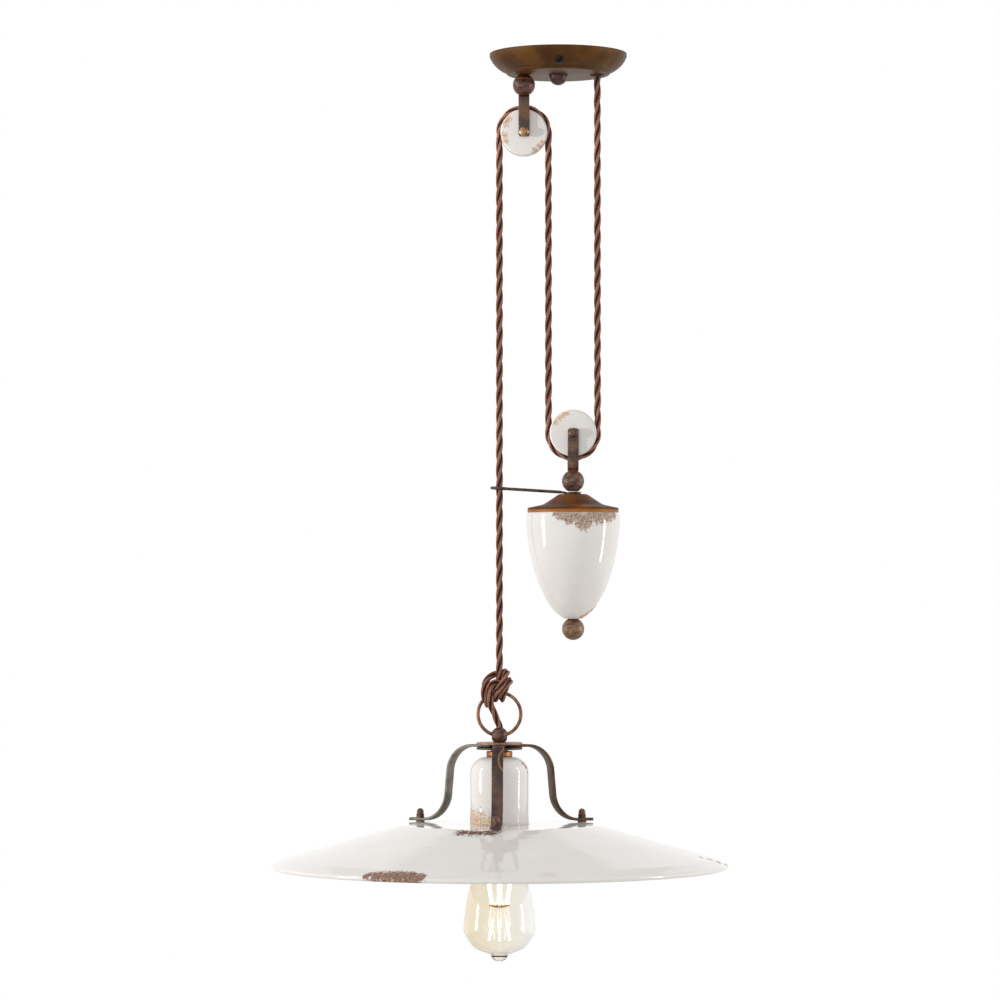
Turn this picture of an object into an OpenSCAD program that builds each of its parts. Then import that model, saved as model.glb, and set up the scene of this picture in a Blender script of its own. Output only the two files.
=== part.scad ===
// Rise and fall pendant: a ceramic shade lamp and its ceramic counterweight share one cord over two pulleys.
// Millimetres, +Z up. The origin is the middle of the canopy on the ceiling.

/* [Cord] */
// Diameter of the twisted cord
cord_d = 6.5; // [5:0.25:7]
// Radius of the cord's centre line round each pulley
turn_r = 22.5; // [22:0.25:26]
// How much thinner the cord is pulled in the knot
knot_squeeze = 0.4; // [0:0.1:0.6]
// Gap between the cord and what it passes through
cord_gap = 0.3; // [0.2:0.05:0.5]

/* [Drops from the ceiling] */
// Place of the upper pulley to the side of the middle
upper_x = -31.5; // [-34:0.5:-26]
// Drop to the lower pulley's axle
weight_drop = 349; // [300:1:355]
// Drop to the middle of the hanging ring
ring_drop = 606.4; // [600:0.2:700]

/* [Canopy] */
// Diameter at the ceiling
canopy_d = 126; // [122:1:140]
// Sheet thickness
canopy_wall = 1.2; // [0.8:0.1:1.6]
// Straight lip at the ceiling
lip_h = 3; // [2:0.5:4]
// Radius of the bowl's side
bowl_r = 25; // [24:0.5:28]
// Diameter where the bowl ends
step_d = 98; // [96:1:100]
// Depth where the bowl ends
step_h = 16.8; // [16:0.2:18]
// Radius of the plate's edge
plate_edge_r = 2.5; // [2:0.1:3]
// Diameter of the dome nut under the plate
dome_d = 17; // [14:0.5:20]

/* [Ceiling bracket] */
// Width of the strip
strip_w = 20; // [16:1:24]
// Thickness of the strip
strip_t = 2; // [1.5:0.5:2.5]
// Distance from the canopy's edge in to each fold
fold_in = 5.5; // [5:0.5:7]
// Length of each folded tab
tab_l = 14; // [12:0.5:15]
// Slope of the side screws below level
screw_slope = 50; // [48:1:52]
// Distance between the two ceiling slots
slot_pitch = 70; // [60:1:76]
// Width of a ceiling slot
slot_w = 5; // [4:0.5:6]
// Length of a ceiling slot, end to end
slot_l = 16; // [10:1:18]

/* [Balls and forks] */
// Diameter of the three large balls
ball_d = 20.5; // [19:0.5:22]
// Distance from a ball's middle to its flats
ball_flat = 9.3; // [8.5:0.1:9.4]
// Distance from a ball's middle to its axle
fork_reach = 44; // [43:0.5:48]
// Width of the fork's strap
fork_w = 10; // [9:0.5:12]
// Thickness of the fork's strap
fork_t = 2; // [1.5:0.1:2.2]
// Strap left past the axle
fork_end = 4.2; // [4:0.1:5]
// Screw through the upper ball
ball_screw_d = 5; // [4:0.5:6]
// Height of the screw heads inside the forks
fork_head_h = 2.4; // [2:0.1:3]

/* [Pulleys] */
// Diameter of a wheel
wheel_d = 43; // [42:0.5:44]
// Width of a wheel
wheel_w = 12; // [11:0.5:14]
// Rounding of a wheel's edge
wheel_edge_r = 1.5; // [0.8:0.1:1.8]
// Axle diameter
axle_d = 5; // [4:0.5:6]
// Running gap between an axle and its bush
run_gap = 0.04; // [0.02:0.01:0.08]
// Wall of a bush
bush_wall = 1.5; // [1:0.25:2]
// Gap between a wheel and its fork, each side
side_gap = 0.6; // [0.4:0.1:1]
// Diameter of an axle's domed head
axle_head_d = 9; // [8:0.5:10]

/* [Counterweight] */
// Diameter of the ceramic bell
bell_d = 86.6; // [84:0.2:92]
// Height of the bell's curve if it ran to a point
bell_h = 95.3; // [85:0.5:97]
// Fullness of the bell's curve
bell_power = 1.8; // [1.7:0.05:2]
// Ceramic wall
bell_wall = 5.5; // [4:0.5:8]
// Radius of the flat foot of the bell
bell_foot_r = 8; // [7:0.5:9]
// Diameter of the steel cap
cap_d = 83.5; // [82:0.5:84]
// Sheet thickness of the cap
cap_wall = 1.5; // [1:0.1:2]
// Height of the cap's straight band
cap_band = 4.4; // [3.5:0.1:5.5]
// Slope of the cap's flank
cap_slope = 34; // [30:1:36]
// Slope of the cap's brim
brim_slope = 12; // [10:1:14]
// Weight rod diameter
rod_d = 6; // [5:0.5:6]
// Gap round screws and rods
hole_gap = 0.2; // [0.1:0.05:0.3]
// Pale washer under the lower ball
pale_washer_d = 17.5; // [16:0.5:18]
// Its thickness
pale_washer_t = 0.8; // [0.6:0.1:1.2]

/* [Guide arm] */
// Wire diameter
arm_wire_d = 2.8; // [2.4:0.1:3.2]
// Rise of the wire towards its ring, in degrees
arm_rise = 3.5; // [0:0.5:6]
// Outside diameter of its ring round the cord
arm_ring_d = 16.8; // [16:0.2:20]
// Thickness of its flattened eye
eye_t = 1.6; // [1.4:0.1:2]

/* [Hanging ring] */
// Radius of the ring's wire centre line
ring_r = 19.6; // [19:0.1:21]
// Wire diameter
ring_wire_d = 3.2; // [3:0.1:3.6]
// Diameter of the lamp's ball
lamp_ball_d = 15.6; // [15.4:0.1:17]

/* [Lamp arms] */
// Diameter of the two clamping discs
disc_d = 42; // [38:0.5:46]
// Disc thickness
disc_t = 2; // [1.5:0.1:2.5]
// Strap width
strap_w = 10.4; // [9:0.2:11]
// Strap thickness
strap_t = 2.5; // [2:0.1:3]
// Radius of the arm's shoulder, strap middle
shoulder_r = 25.7; // [24:0.1:27]
// Radius of the arm's foot curve, strap middle
ankle_r = 26.5; // [25:0.1:27]
// Lean of the arm's straight stretch
arm_lean = 5.4; // [4:0.2:7]
// Distance inside the shade's flat top where the foot turns flat
foot_in = 5; // [4:0.5:6]
// Reach of the foot past the edge of the flat top
foot_over = 9.6; // [8:0.2:11]
// Distance from the edge of the flat top in to the bolts
bolt_in = 0.5; // [0:0.5:2]
// Turn of the three arms about the lamp's axis
arm_turn = -2; // [-5:1:5]
// Shade bolt diameter
bolt_d = 4; // [3:0.5:4.5]
// Thickness of a fibre pad
pad_t = 1; // [0.8:0.1:1.5]

/* [Ceramic cup] */
// Outside diameter
cup_d = 54; // [52:0.5:56]
// Wall
cup_wall = 4; // [3:0.5:5]
// Shoulder radius
cup_shoulder_r = 15; // [13:0.5:16]
// Collar nut diameter
collar_d = 24; // [22:0.5:26]
// Collar nut height
collar_h = 4.9; // [4:0.1:6]
// Neck between the lower disc and the collar
neck_h = 1.6; // [1:0.1:2]
// Nipple tube diameter
nipple_d = 9; // [8.6:0.1:9.2]

/* [Shade] */
// Drop from the cup's top to the shade's flat top
shade_drop = 61.8; // [60:0.2:64]
// Shade diameter
shade_d = 420; // [400:1:440]
// Wall
shade_wall = 4; // [3:0.25:4.5]
// Radius of the flat top
plateau_r = 87; // [87:0.5:90]
// Rounding between the flat top and the slope
plateau_edge_r = 20; // [16:1:24]
// Slope of the shade
shade_slope = 15.5; // [14:0.25:18]
// Slope of the rim band
rim_slope = 25; // [23:1:30]
// Width of the rim band
rim_band = 10.5; // [9:0.5:12]
// Height of the lip under the band
lip_drop = 4.8; // [4:0.1:6]

/* [Lampholder and bulb] */
// Lampholder diameter
holder_d = 40; // [36:0.5:42]
// Drop from the cup's top to the bulb's contact
contact_drop = 47.3; // [46:0.1:49]
// Bulb screw cap diameter
screw_d = 26.2; // [26:0.1:26.5]
// Widest diameter of the bulb
bulb_d = 66; // [60:1:70]
// Bulb length, contact to tip
bulb_l = 139.8; // [136:0.2:145]
// Glass thickness
glass_t = 1; // [0.8:0.1:1.5]

/* [Hidden] */
$fn = 72;
tiny = 0.01;

// Colours as photographed
bronze = "#7A5A30";
rust = "#5E4638";
dark_steel = "#4A4038";
cap_rust = "#6E4422";
ring_rust = "#9A6A45";
copper = "#B07A50";
glaze = "#E8E4E1";
cord_brown = "#5B3A33";
brass = "#B08D4F";
black = "#1E1C1B";

// The cord's three runs and the two pulleys between them
lower_x = upper_x + 2 * turn_r;
fixed_x = lower_x + turn_r;
lamp_x = upper_x - turn_r;
middle_x = upper_x + turn_r;

// Heights at the ceiling
canopy_r = canopy_d / 2;
fold_y = canopy_r - fold_in;
step_r = step_d / 2;
plate_z = -step_h - plate_edge_r;
plate_in_z = plate_z + canopy_wall;
upper_ball_z = plate_z - ball_flat;
upper_axle_z = upper_ball_z - fork_reach;

// Heights down the counterweight
lower_axle_z = -weight_drop;
lower_ball_z = lower_axle_z - fork_reach;
washer_z = lower_ball_z - ball_flat;
eye_z = washer_z - pale_washer_t;
cap_top_z = eye_z - eye_t;
cap_flat_r = 10;
cap_shoulder_r = 9;
cap_flare_r = 16;
cap_flank_w = 9.5;
cap_in_x = cap_flat_r + cap_shoulder_r * sin(cap_slope) + cap_flank_w;
cap_out_x = cap_in_x + cap_flare_r * (sin(cap_slope) - sin(brim_slope));
cap_drop = cap_shoulder_r * (1 - cos(cap_slope)) + cap_flank_w * tan(cap_slope);
cap_drop_out = cap_drop + cap_flare_r * (cos(brim_slope) - cos(cap_slope));
cap_edge_z = cap_top_z - cap_drop_out - (cap_d / 2 - cap_out_x) * tan(brim_slope);
bell_top_z = cap_edge_z - cap_band;
bell_lip_h = 3.7;
bell_r = bell_d / 2;
bell_z = bell_top_z - bell_lip_h;
bell_foot_t = pow(1 - pow(bell_foot_r / bell_r, 2), 1 / bell_power);
bell_foot_z = bell_z - bell_h * bell_foot_t;
bottom_ball_z = bell_foot_z - ball_flat;
cavity_r = bell_r - bell_wall;
cavity_h = bell_h - bell_wall - 1;
ballast_gap = 0.4;
ballast_split = 44;

// Heights down the lamp
ring_z = -ring_drop;
lamp_ball_z = ring_z - ring_r;
lamp_ball_flat = 6.2;
disc_z = lamp_ball_z - lamp_ball_flat;
strap_z = disc_z - disc_t;
lower_disc_z = strap_z - strap_t;
neck_z = lower_disc_z - disc_t;
collar_z = neck_z - neck_h;
cup_z = collar_z - collar_h;
shade_z = cup_z - shade_drop;
foot_z = shade_z + pad_t;
foot_in_r = plateau_r - foot_in;
foot_out_r = plateau_r + foot_over;
bolt_r = plateau_r - bolt_in;
cup_end_z = shade_z - shade_wall - 0.6;
contact_z = cup_z - contact_drop;
bulb_tip_z = contact_z - bulb_l;
cup_in_z = cup_z - cup_wall;
holder_split_z = cup_in_z - 18;
holder_end_z = cup_end_z + 0.5;
nipple_end_z = cup_in_z - 7;
nipple_bore_d = cord_d + 2 * cord_gap;

// Small parts
shank_gap = 0.05;
wheel_gap = 0.05;
axle_end_y = wheel_w / 2 + side_gap + fork_t;
ring_end_x = nipple_bore_d / 2 + 0.45;
pivot_gap = 0.12;

// The knot's centre line, from the lamp run's end, round the ring and back to the tail's start, measured
// from the top of the ring's wire centre line on the lamp's axis
knot_top = 27;
knot_route = [
    [0, 0, 27], [0, 0, 21.5], [-0.3, 1.5, 16], [-1.5, 4.5, 11], [-3, 6.4, 5.5], [-3.8, 6.2, 0],
    [-4, 4, -4], [-4, 0, -5.6], [-3.8, -4, -5.2], [-3.2, -7.6, -2.8], [-2, -10, 0.8], [0.5, -10.8, 5],
    [3, -9.8, 9.5], [5, -7.2, 13.8], [6.3, -3, 17.3], [6.3, 2, 18.8], [3.5, 6.4, 18.5], [-0.5, 8, 18],
    [-5, 7.2, 16.6], [-9.5, 4, 13.4], [-12.8, 0, 9], [-14, -3, 4], [-13.9, -5, -1], [-13, -5, -6.2],
    [-11.6, -2.2, -10], [-10, 1.8, -10.8], [-8.2, 6.2, -9], [-6.2, 10.6, -5], [-2.8, 13, 0.5],
    [1.5, 12.8, 5.2], [5.5, 10, 8.8], [8.4, 5.8, 10.8], [9.4, 1, 10.8], [8.6, -3.4, 9], [6.6, -5.6, 6],
    [4.7, -5.9, 2.4], [3.4, -5.6, -1], [2.7, -4, -4.2], [2.4, -0.4, -5.8], [2.6, 3.6, -4.8], [3.1, 5.8, -1.2],
    [3.6, 5, 3.2], [2.8, 2, 6.4], [-0.4, -1.4, 7.6], [-4.2, -4.4, 6.8], [-7.7, -7.4, 3.8], [-9.1, -9.8, -0.6],
    [-8.8, -10.4, -5.4], [-7.9, -9.4, -10], [-6.6, -7.6, -14.4]
];
tail_route = [
    [-6.5, -7.4, -14.8], [-4.9, -5.6, -18.8], [-3.1, -3.5, -22.8], [-1.5, -1.6, -26.2], [-0.4, -0.4, -29],
    [0, 0, -31.2]
];

// Points along an arc about c
function arc(c, r, a, b, n = 8) =
    [for (i = [0:n]) let (t = a + (b - a) * i / n) [c[0] + r * cos(t), c[1] + r * sin(t)]];

// Points on an arc of radius r from p to q, bulging to the right of the way from p to q if r is positive
function bow(p, q, r, n = 8) =
    let (
        d = q - p,
        l = norm(d),
        h = sqrt(r * r - l * l / 4),
        c = (p + q) / 2 + sign(r) * h * [-d[1], d[0]] / l,
        a = atan2(p[1] - c[1], p[0] - c[0]),
        b = atan2(q[1] - c[1], q[0] - c[0]),
        turn = (b - a + 540) % 360 - 180
    )
    arc(c, abs(r), a, a + turn, n);

// A smooth curve through the points, with n steps between each pair
function through(p, n = 4) =
    let (last = len(p) - 1)
    [
        for (i = [0:last - 1])
            for (k = [0:(i == last - 1 ? n : n - 1)])
                let (
                    t = k / n,
                    a = i == 0 ? 2 * p[0] - p[1] : p[i - 1],
                    b = p[i],
                    c = p[i + 1],
                    d = i == last - 1 ? 2 * p[last] - p[last - 1] : p[i + 2]
                )
                b + t / 2 * (c - a + t * (2 * a - 5 * b + 4 * c - d + t * (3 * b - a - 3 * c + d)))
    ];

function unit(v) = v / norm(v);

// Frames that turn as little as they can along a route: each is a point, and two directions across it
function frames(p) =
    let (last = len(p) - 1)
    [
        for (
            i = 0,
            dir = unit(p[1] - p[0]),
            u = unit(cross(dir, abs(dir[1]) < 0.9 ? [0, 1, 0] : [1, 0, 0]));
            i <= last;
            i = i + 1,
            dir = i > last ? dir : unit(p[min(i + 1, last)] - p[max(i - 1, 0)]),
            u = unit(u - (u * dir) * dir)
        )
        [p[i], u, cross(dir, u)]
    ];

// A tube of n sides along a route, closed at both ends
module tube_along(route, d, n = 8) {
    f = frames(route);
    rings = len(f);
    r = d / 2;
    points = [for (g = f) for (k = [0:n - 1]) g[0] + r * (g[1] * cos(360 * k / n) + g[2] * sin(360 * k / n))];
    sides = [
        for (i = [0:rings - 2])
            for (k = [0:n - 1])
                let (a = i * n + k, b = i * n + (k + 1) % n)
                    each [[a, a + n, b], [b, a + n, b + n]]
    ];
    first = [for (k = [1:n - 2]) [0, k, k + 1]];
    last = (rings - 1) * n;
    end = [for (k = [1:n - 2]) [last, last + k + 1, last + k]];
    polyhedron(points = points, faces = concat(sides, first, end));
}

module at_lamp(z = 0) {
    translate([lamp_x, 0, z]) children();
}

module at_weight(z = 0) {
    translate([lower_x, 0, z]) children();
}

module at_upper(z = 0) {
    translate([upper_x, 0, z]) children();
}

// A revolved profile about the lamp's, weight's or canopy's own axis
module turned(points) {
    rotate_extrude($fn = 120) polygon(points);
}

module hex_nut(across, h, bore) {
    difference() {
        cylinder(d = across / cos(30), h = h, $fn = 6);
        translate([0, 0, -1]) cylinder(d = bore, h = h + 2);
    }
}

module washer(d, t, bore) {
    difference() {
        cylinder(d = d, h = t);
        translate([0, 0, -1]) cylinder(d = bore, h = t + 2);
    }
}

// A ball cut flat above and below, with a bore from z = from to z = to
module flat_ball(d, flat_top, flat_bottom, bore, from, to) {
    difference() {
        intersection() {
            sphere(d = d);
            translate([-d, -d, -flat_bottom]) cube([2 * d, 2 * d, flat_bottom + flat_top]);
        }
        translate([0, 0, from]) cylinder(d = bore, h = to - from);
    }
}

// ---- Canopy ----

// Outline of the canopy's side from the ceiling to the plate, moved inwards by t
function canopy_side(t) = concat(
    [[canopy_r - t, 0]],
    bow([canopy_r - t, -lip_h], [step_r - 0.4 * t, -step_h + 0.93 * t], -(bowl_r - t), 10),
    [[step_r - 1 - t, -step_h + 0.93 * t]],
    arc([step_r - 1 - plate_edge_r, -step_h], plate_edge_r - t, 0, -90, 5)
);

module canopy_shell() {
    outer = canopy_side(0);
    inner = canopy_side(canopy_wall);
    reversed = [for (i = [len(inner) - 1:-1:0]) inner[i]];
    color(bronze) difference() {
        turned(concat(outer, [[0, plate_z], [0, plate_in_z]], reversed));
        at_upper(plate_z - 1) cylinder(d = ball_screw_d + 2 * hole_gap, h = canopy_wall + 2);
        translate([fixed_x, 0, plate_z - 1]) cylinder(d = bush_neck_d + 2 * shank_gap, h = canopy_wall + 2);
        translate([0, 0, plate_z - 1]) cylinder(d = stud_d + 2 * hole_gap, h = canopy_wall + 2);
        side_screw_places() translate([0, 0, -6]) cylinder(d = side_screw_d + 2 * hole_gap, h = 12);
    }
}

stud_d = 6;
side_screw_d = 4;
bush_neck_d = 9.4;

// The bowl arc's middle, in the plane of radius and height
bowl_chord = [step_r - canopy_r, lip_h - step_h];
bowl_mid = [(canopy_r + step_r) / 2, -(lip_h + step_h) / 2];
bowl_c = bowl_mid - sqrt(pow(bowl_r, 2) - pow(norm(bowl_chord) / 2, 2))
    * [-bowl_chord[1], bowl_chord[0]] / norm(bowl_chord);
screw_y = bowl_c[0] + bowl_r * cos(screw_slope);
screw_z = bowl_c[1] - bowl_r * sin(screw_slope);

// Both side screws' places: origin on the canopy's outside, +Z along the screw outwards
module side_screw_places() {
    for (side = [-1, 1])
        translate([0, side * screw_y, screw_z]) rotate([-side * (90 + screw_slope), 0, 0]) children();
}

// Depth of the bracket's tab under the canopy's outside, along the screw
tab_depth = (screw_y - fold_y) * cos(screw_slope) - (screw_z + strip_t / 2) * sin(screw_slope);

module ceiling_bracket() {
    color("silver") difference() {
        union() {
            translate([-strip_w / 2, -fold_y, -strip_t]) cube([strip_w, 2 * fold_y, strip_t]);
            for (side = [-1, 1]) {
                translate([-strip_w / 2, side * fold_y, -strip_t / 2]) rotate([0, 90, 0])
                    cylinder(d = strip_t, h = strip_w);
                translate([0, side * fold_y, -strip_t / 2]) rotate([side * (90 - screw_slope), 0, 0])
                    translate([-strip_w / 2, side > 0 ? -tab_l : 0, -strip_t / 2])
                        cube([strip_w, tab_l, strip_t]);
            }
        }
        for (side = [-1, 1]) translate([0, side * slot_pitch / 2, -strip_t - 1]) {
            translate([-slot_w / 2, -(slot_l - slot_w) / 2, 0]) cube([slot_w, slot_l - slot_w, strip_t + 2]);
            for (end = [-1, 1])
                translate([0, end * (slot_l - slot_w) / 2, 0]) cylinder(d = slot_w, h = strip_t + 2);
        }
        translate([0, 0, -strip_t - 1]) cylinder(d = stud_d + 2 * shank_gap, h = strip_t + 2);
        side_screw_places() translate([0, 0, -tab_depth - 4])
            cylinder(d = side_screw_d + 2 * shank_gap, h = 8);
    }
}

side_head_d = 9;
side_head_h = 2.4;

module canopy_side_screws() {
    color(black) side_screw_places() {
        translate([0, 0, -tab_depth - 3]) cylinder(d = side_screw_d, h = tab_depth + 3 + tiny);
        translate([0, 0, 0.2]) difference() {
            intersection() {
                cylinder(d = side_head_d, h = side_head_h);
                translate([0, 0, side_head_h - 6]) sphere(r = 6);
            }
            for (turn = [0, 90]) rotate(turn) translate([-2.5, -0.5, side_head_h - 1]) cube([5, 1, 2]);
        }
        cylinder(d = side_screw_d, h = 0.5);
    }
}

stud_end_z = plate_z - 4;
stud_nut_h = 4;

module centre_stud() {
    color("silver") {
        translate([0, 0, stud_end_z]) cylinder(d = stud_d, h = -0.2 - stud_end_z);
        translate([0, 0, -strip_t - stud_nut_h]) cylinder(d = 10 / cos(30), h = stud_nut_h, $fn = 6);
    }
}

module centre_cap_nut() {
    rim_h = 1;
    color(rust) translate([0, 0, plate_z - rim_h]) difference() {
        union() {
            cylinder(d = dome_d, h = rim_h);
            intersection() {
                sphere(d = dome_d);
                translate([-dome_d, -dome_d, -dome_d]) cube([2 * dome_d, 2 * dome_d, dome_d]);
            }
        }
        translate([0, 0, stud_end_z - plate_z]) cylinder(d = stud_d + 2 * shank_gap, h = 10);
    }
}

// ---- Balls, forks and axles ----

// A strap bent to a U, hung from z = 0 with its legs down, and its axle at z = -reach
module fork(reach, screw_d) {
    half = wheel_w / 2 + side_gap;
    in_r = 2;
    out_r = in_r + fork_t;
    leg = reach + fork_end;
    corner = 3;
    outline = concat(
        [[half + fork_t, -leg], [half + fork_t, -out_r]],
        arc([half - in_r, -out_r], out_r, 0, 90),
        arc([-half + in_r, -out_r], out_r, 90, 180),
        [[-half - fork_t, -leg], [-half, -leg]],
        arc([-half + in_r, -out_r], in_r, 180, 90),
        arc([half - in_r, -out_r], in_r, 90, 0),
        [[half, -leg]]
    );
    difference() {
        rotate([90, 0, 90]) translate([0, 0, -fork_w / 2]) linear_extrude(fork_w) polygon(outline);
        translate([0, 0, -reach]) rotate([90, 0, 0])
            translate([0, 0, -half - fork_t - 1]) cylinder(d = axle_d + 2 * shank_gap, h = 2 * (half + fork_t + 1));
        translate([0, 0, -fork_t - 1]) cylinder(d = screw_d + 2 * hole_gap, h = fork_t + 2);
        for (side = [-1, 1]) translate([side * (fork_w / 2 - corner / 2), 0, -leg - corner / 2])
            rotate([90, 45, 0]) translate([0, 0, -20]) linear_extrude(40) square(corner * 0.42, center = true);
    }
}

// A pin along Y with a domed head in front and a smaller one behind, about the origin
module axle() {
    rear_d = axle_head_d - 1;
    dome_r = 5.2;
    rotate([90, 0, 0]) {
        translate([0, 0, -axle_end_y - 0.1]) cylinder(d = axle_d, h = 2 * axle_end_y + 0.2);
        translate([0, 0, axle_end_y + 0.05]) intersection() {
            cylinder(d = axle_head_d, h = 3);
            translate([0, 0, 2.8 - dome_r]) sphere(r = dome_r);
        }
        translate([0, 0, -axle_end_y - 1.85]) intersection() {
            cylinder(d = rear_d, h = 1.8);
            translate([0, 0, dome_r]) sphere(r = dome_r);
        }
    }
}

// A headed screw: the head's seat is at z = 0 with the head below it, and the shank goes up
module headed_screw(d, head_d, head_h, l) {
    translate([0, 0, -tiny]) cylinder(d = d, h = l);
    translate([0, 0, -head_h]) cylinder(d1 = head_d - 1.2, d2 = head_d, h = head_h / 2);
    translate([0, 0, -head_h / 2]) cylinder(d = head_d, h = head_h / 2);
}

module upper_ball() {
    color(rust) at_upper(upper_ball_z)
        flat_ball(ball_d, ball_flat, ball_flat, ball_screw_d + 2 * hole_gap, -ball_d, ball_d);
}

module upper_fork() {
    color(rust) at_upper(upper_ball_z - ball_flat) fork(fork_reach - ball_flat, ball_screw_d);
}

upper_screw_end_z = plate_in_z + 6;

module upper_fork_screw() {
    seat_z = upper_ball_z - ball_flat - fork_t;
    color("silver") at_upper(seat_z)
        headed_screw(ball_screw_d, 9, fork_head_h, upper_screw_end_z - seat_z);
}

module upper_screw_nut() {
    washer_t = 1;
    color("silver") at_upper(plate_in_z) {
        washer(12, washer_t, ball_screw_d + 2 * hole_gap);
        translate([0, 0, washer_t]) hex_nut(8, 4, ball_screw_d + 2 * shank_gap);
    }
}

module upper_axle() {
    color(copper) at_upper(upper_axle_z) axle();
}

module lower_fork() {
    color(rust) at_weight(lower_ball_z + ball_flat) mirror([0, 0, 1]) fork(fork_reach - ball_flat, rod_d);
}

module lower_axle() {
    color(rust) at_weight(lower_axle_z) axle();
}

module lower_ball() {
    color(rust) at_weight(lower_ball_z)
        flat_ball(ball_d, ball_flat, ball_flat, rod_d + 2 * hole_gap, -ball_d, ball_d);
}

// ---- Cord outlet and wiring ----

bush_flange_d = 12.4;
bush_flange_t = 2;

module cord_bush() {
    color(black) translate([fixed_x, 0, plate_z]) difference() {
        union() {
            translate([0, 0, -bush_flange_t]) cylinder(d = bush_flange_d, h = bush_flange_t);
            cylinder(d = bush_neck_d, h = canopy_wall);
            translate([0, 0, canopy_wall]) cylinder(d1 = bush_neck_d + 1.6, d2 = bush_neck_d, h = 1.6);
        }
        translate([0, 0, -5]) cylinder(d = cord_d + 2 * cord_gap, h = 12);
    }
}

grip_z = plate_in_z + 1.9;
grip_h = 6;
cord_top_z = grip_z + grip_h;

module cord_grip() {
    grip_w = 19;
    foot_w = 3;
    color("whitesmoke") translate([fixed_x, 0, grip_z]) difference() {
        union() {
            translate([-5, -grip_w / 2, 0]) cube([10, grip_w, grip_h]);
            for (side = [-1, 1])
                translate([-5, side * (grip_w / 2 - foot_w / 2) - foot_w / 2, plate_in_z - grip_z])
                    cube([10, foot_w, grip_z - plate_in_z + tiny]);
        }
        translate([0, 0, -1]) cylinder(d = cord_d + 0.1, h = grip_h + 2);
        translate([-6, -0.5, -1]) cube([6, 1, grip_h + 2]);
    }
}

block_w = 22;
block_d = 10;
block_h = 9;
block_x = 12;
block_y = 17;
way_pitch = 7;

module terminal_block() {
    color("whitesmoke") translate([block_x, block_y, plate_in_z]) difference() {
        cube([block_w, block_d, block_h]);
        for (way = [-1:1]) translate([block_w / 2 + way * way_pitch, 0, block_h / 2]) {
            rotate([90, 0, 0]) translate([0, 0, -block_d - 1]) cylinder(d = 3, h = block_d + 2);
            translate([0, block_d / 2, 0]) cylinder(d = 3.4, h = block_h);
        }
    }
}

module core_wires() {
    core_d = 2.2;
    lift = 2.6;
    for (way = [-1:1])
        color(["steelblue", "saddlebrown", "olive"][way + 1]) tube_along(through([
            [fixed_x + way * 2, -abs(way) * 1.6, cord_top_z + 0.5],
            [fixed_x + way * 2.6, 1 - abs(way) * 1.6, cord_top_z + lift],
            [fixed_x - 4 + way * 3.4, 8 + way * 1.2, cord_top_z + lift],
            [block_x + block_w / 2 + way * way_pitch, block_y - 4, plate_in_z + block_h / 2 + 1.5],
            [block_x + block_w / 2 + way * way_pitch, block_y - 0.1, plate_in_z + block_h / 2],
            [block_x + block_w / 2 + way * way_pitch, block_y + 4, plate_in_z + block_h / 2]
        ], 3), core_d, 6);
}

// ---- Pulleys ----

bush_r = axle_d / 2 + run_gap + bush_wall;

// A grooved ceramic wheel about Y, round the origin
module wheel() {
    rim_r = wheel_d / 2;
    half = wheel_w / 2;
    groove_r = cord_d / 2 + 0.35;
    groove_half = sqrt(pow(groove_r, 2) - pow(turn_r - rim_r, 2));
    groove_a = atan2(groove_half, turn_r - rim_r);
    outline = concat(
        [[bush_r + wheel_gap, -half], [rim_r - wheel_edge_r, -half]],
        arc([rim_r - wheel_edge_r, -half + wheel_edge_r], wheel_edge_r, -90, 0, 5),
        arc([turn_r, 0], groove_r, 180 + groove_a, 180 - groove_a, 12),
        arc([rim_r - wheel_edge_r, half - wheel_edge_r], wheel_edge_r, 0, 90, 5),
        [[bush_r + wheel_gap, half]]
    );
    rotate([90, 0, 0]) turned(outline);
}

module bush() {
    l = wheel_w + 2 * side_gap - 0.4;
    rotate([90, 0, 0]) translate([0, 0, -l / 2]) washer(2 * bush_r, l, axle_d + 2 * run_gap);
}

module upper_pulley_wheel() {
    color(glaze) at_upper(upper_axle_z) wheel();
}

module upper_pulley_bush() {
    color(brass) at_upper(upper_axle_z) bush();
}

module lower_pulley_wheel() {
    color(glaze) at_weight(lower_axle_z) wheel();
}

module lower_pulley_bush() {
    color(brass) at_weight(lower_axle_z) bush();
}

// ---- Counterweight ----

module pale_washer() {
    color("gainsboro") at_weight(eye_z) washer(pale_washer_d, pale_washer_t, rod_d + 2 * hole_gap);
}

arm_z = cap_top_z + arm_wire_d / 2 + 0.2;
arm_ring_r = (arm_ring_d - arm_wire_d) / 2;

module guide_arm() {
    eye_r = 7;
    neck_x = 10;
    reach = (lower_x - lamp_x - neck_x) / cos(arm_rise);
    color(dark_steel) {
        at_weight(cap_top_z) difference() {
            union() {
                cylinder(r = eye_r, h = eye_t);
                translate([-neck_x, -arm_wire_d / 2, 0]) cube([neck_x, arm_wire_d, eye_t]);
            }
            translate([0, 0, -1]) cylinder(d = rod_d + 2 * hole_gap, h = eye_t + 2);
        }
        at_weight(arm_z) translate([-neck_x, 0, 0]) rotate([0, arm_rise, 0]) {
            translate([arm_ring_r - reach, 0, 0]) rotate([0, 90, 0])
                cylinder(d = arm_wire_d, h = reach - arm_ring_r + 0.5);
            translate([-reach, 0, 0]) rotate_extrude() translate([arm_ring_r, 0])
                circle(d = arm_wire_d, $fn = 24);
        }
    }
}

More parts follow.
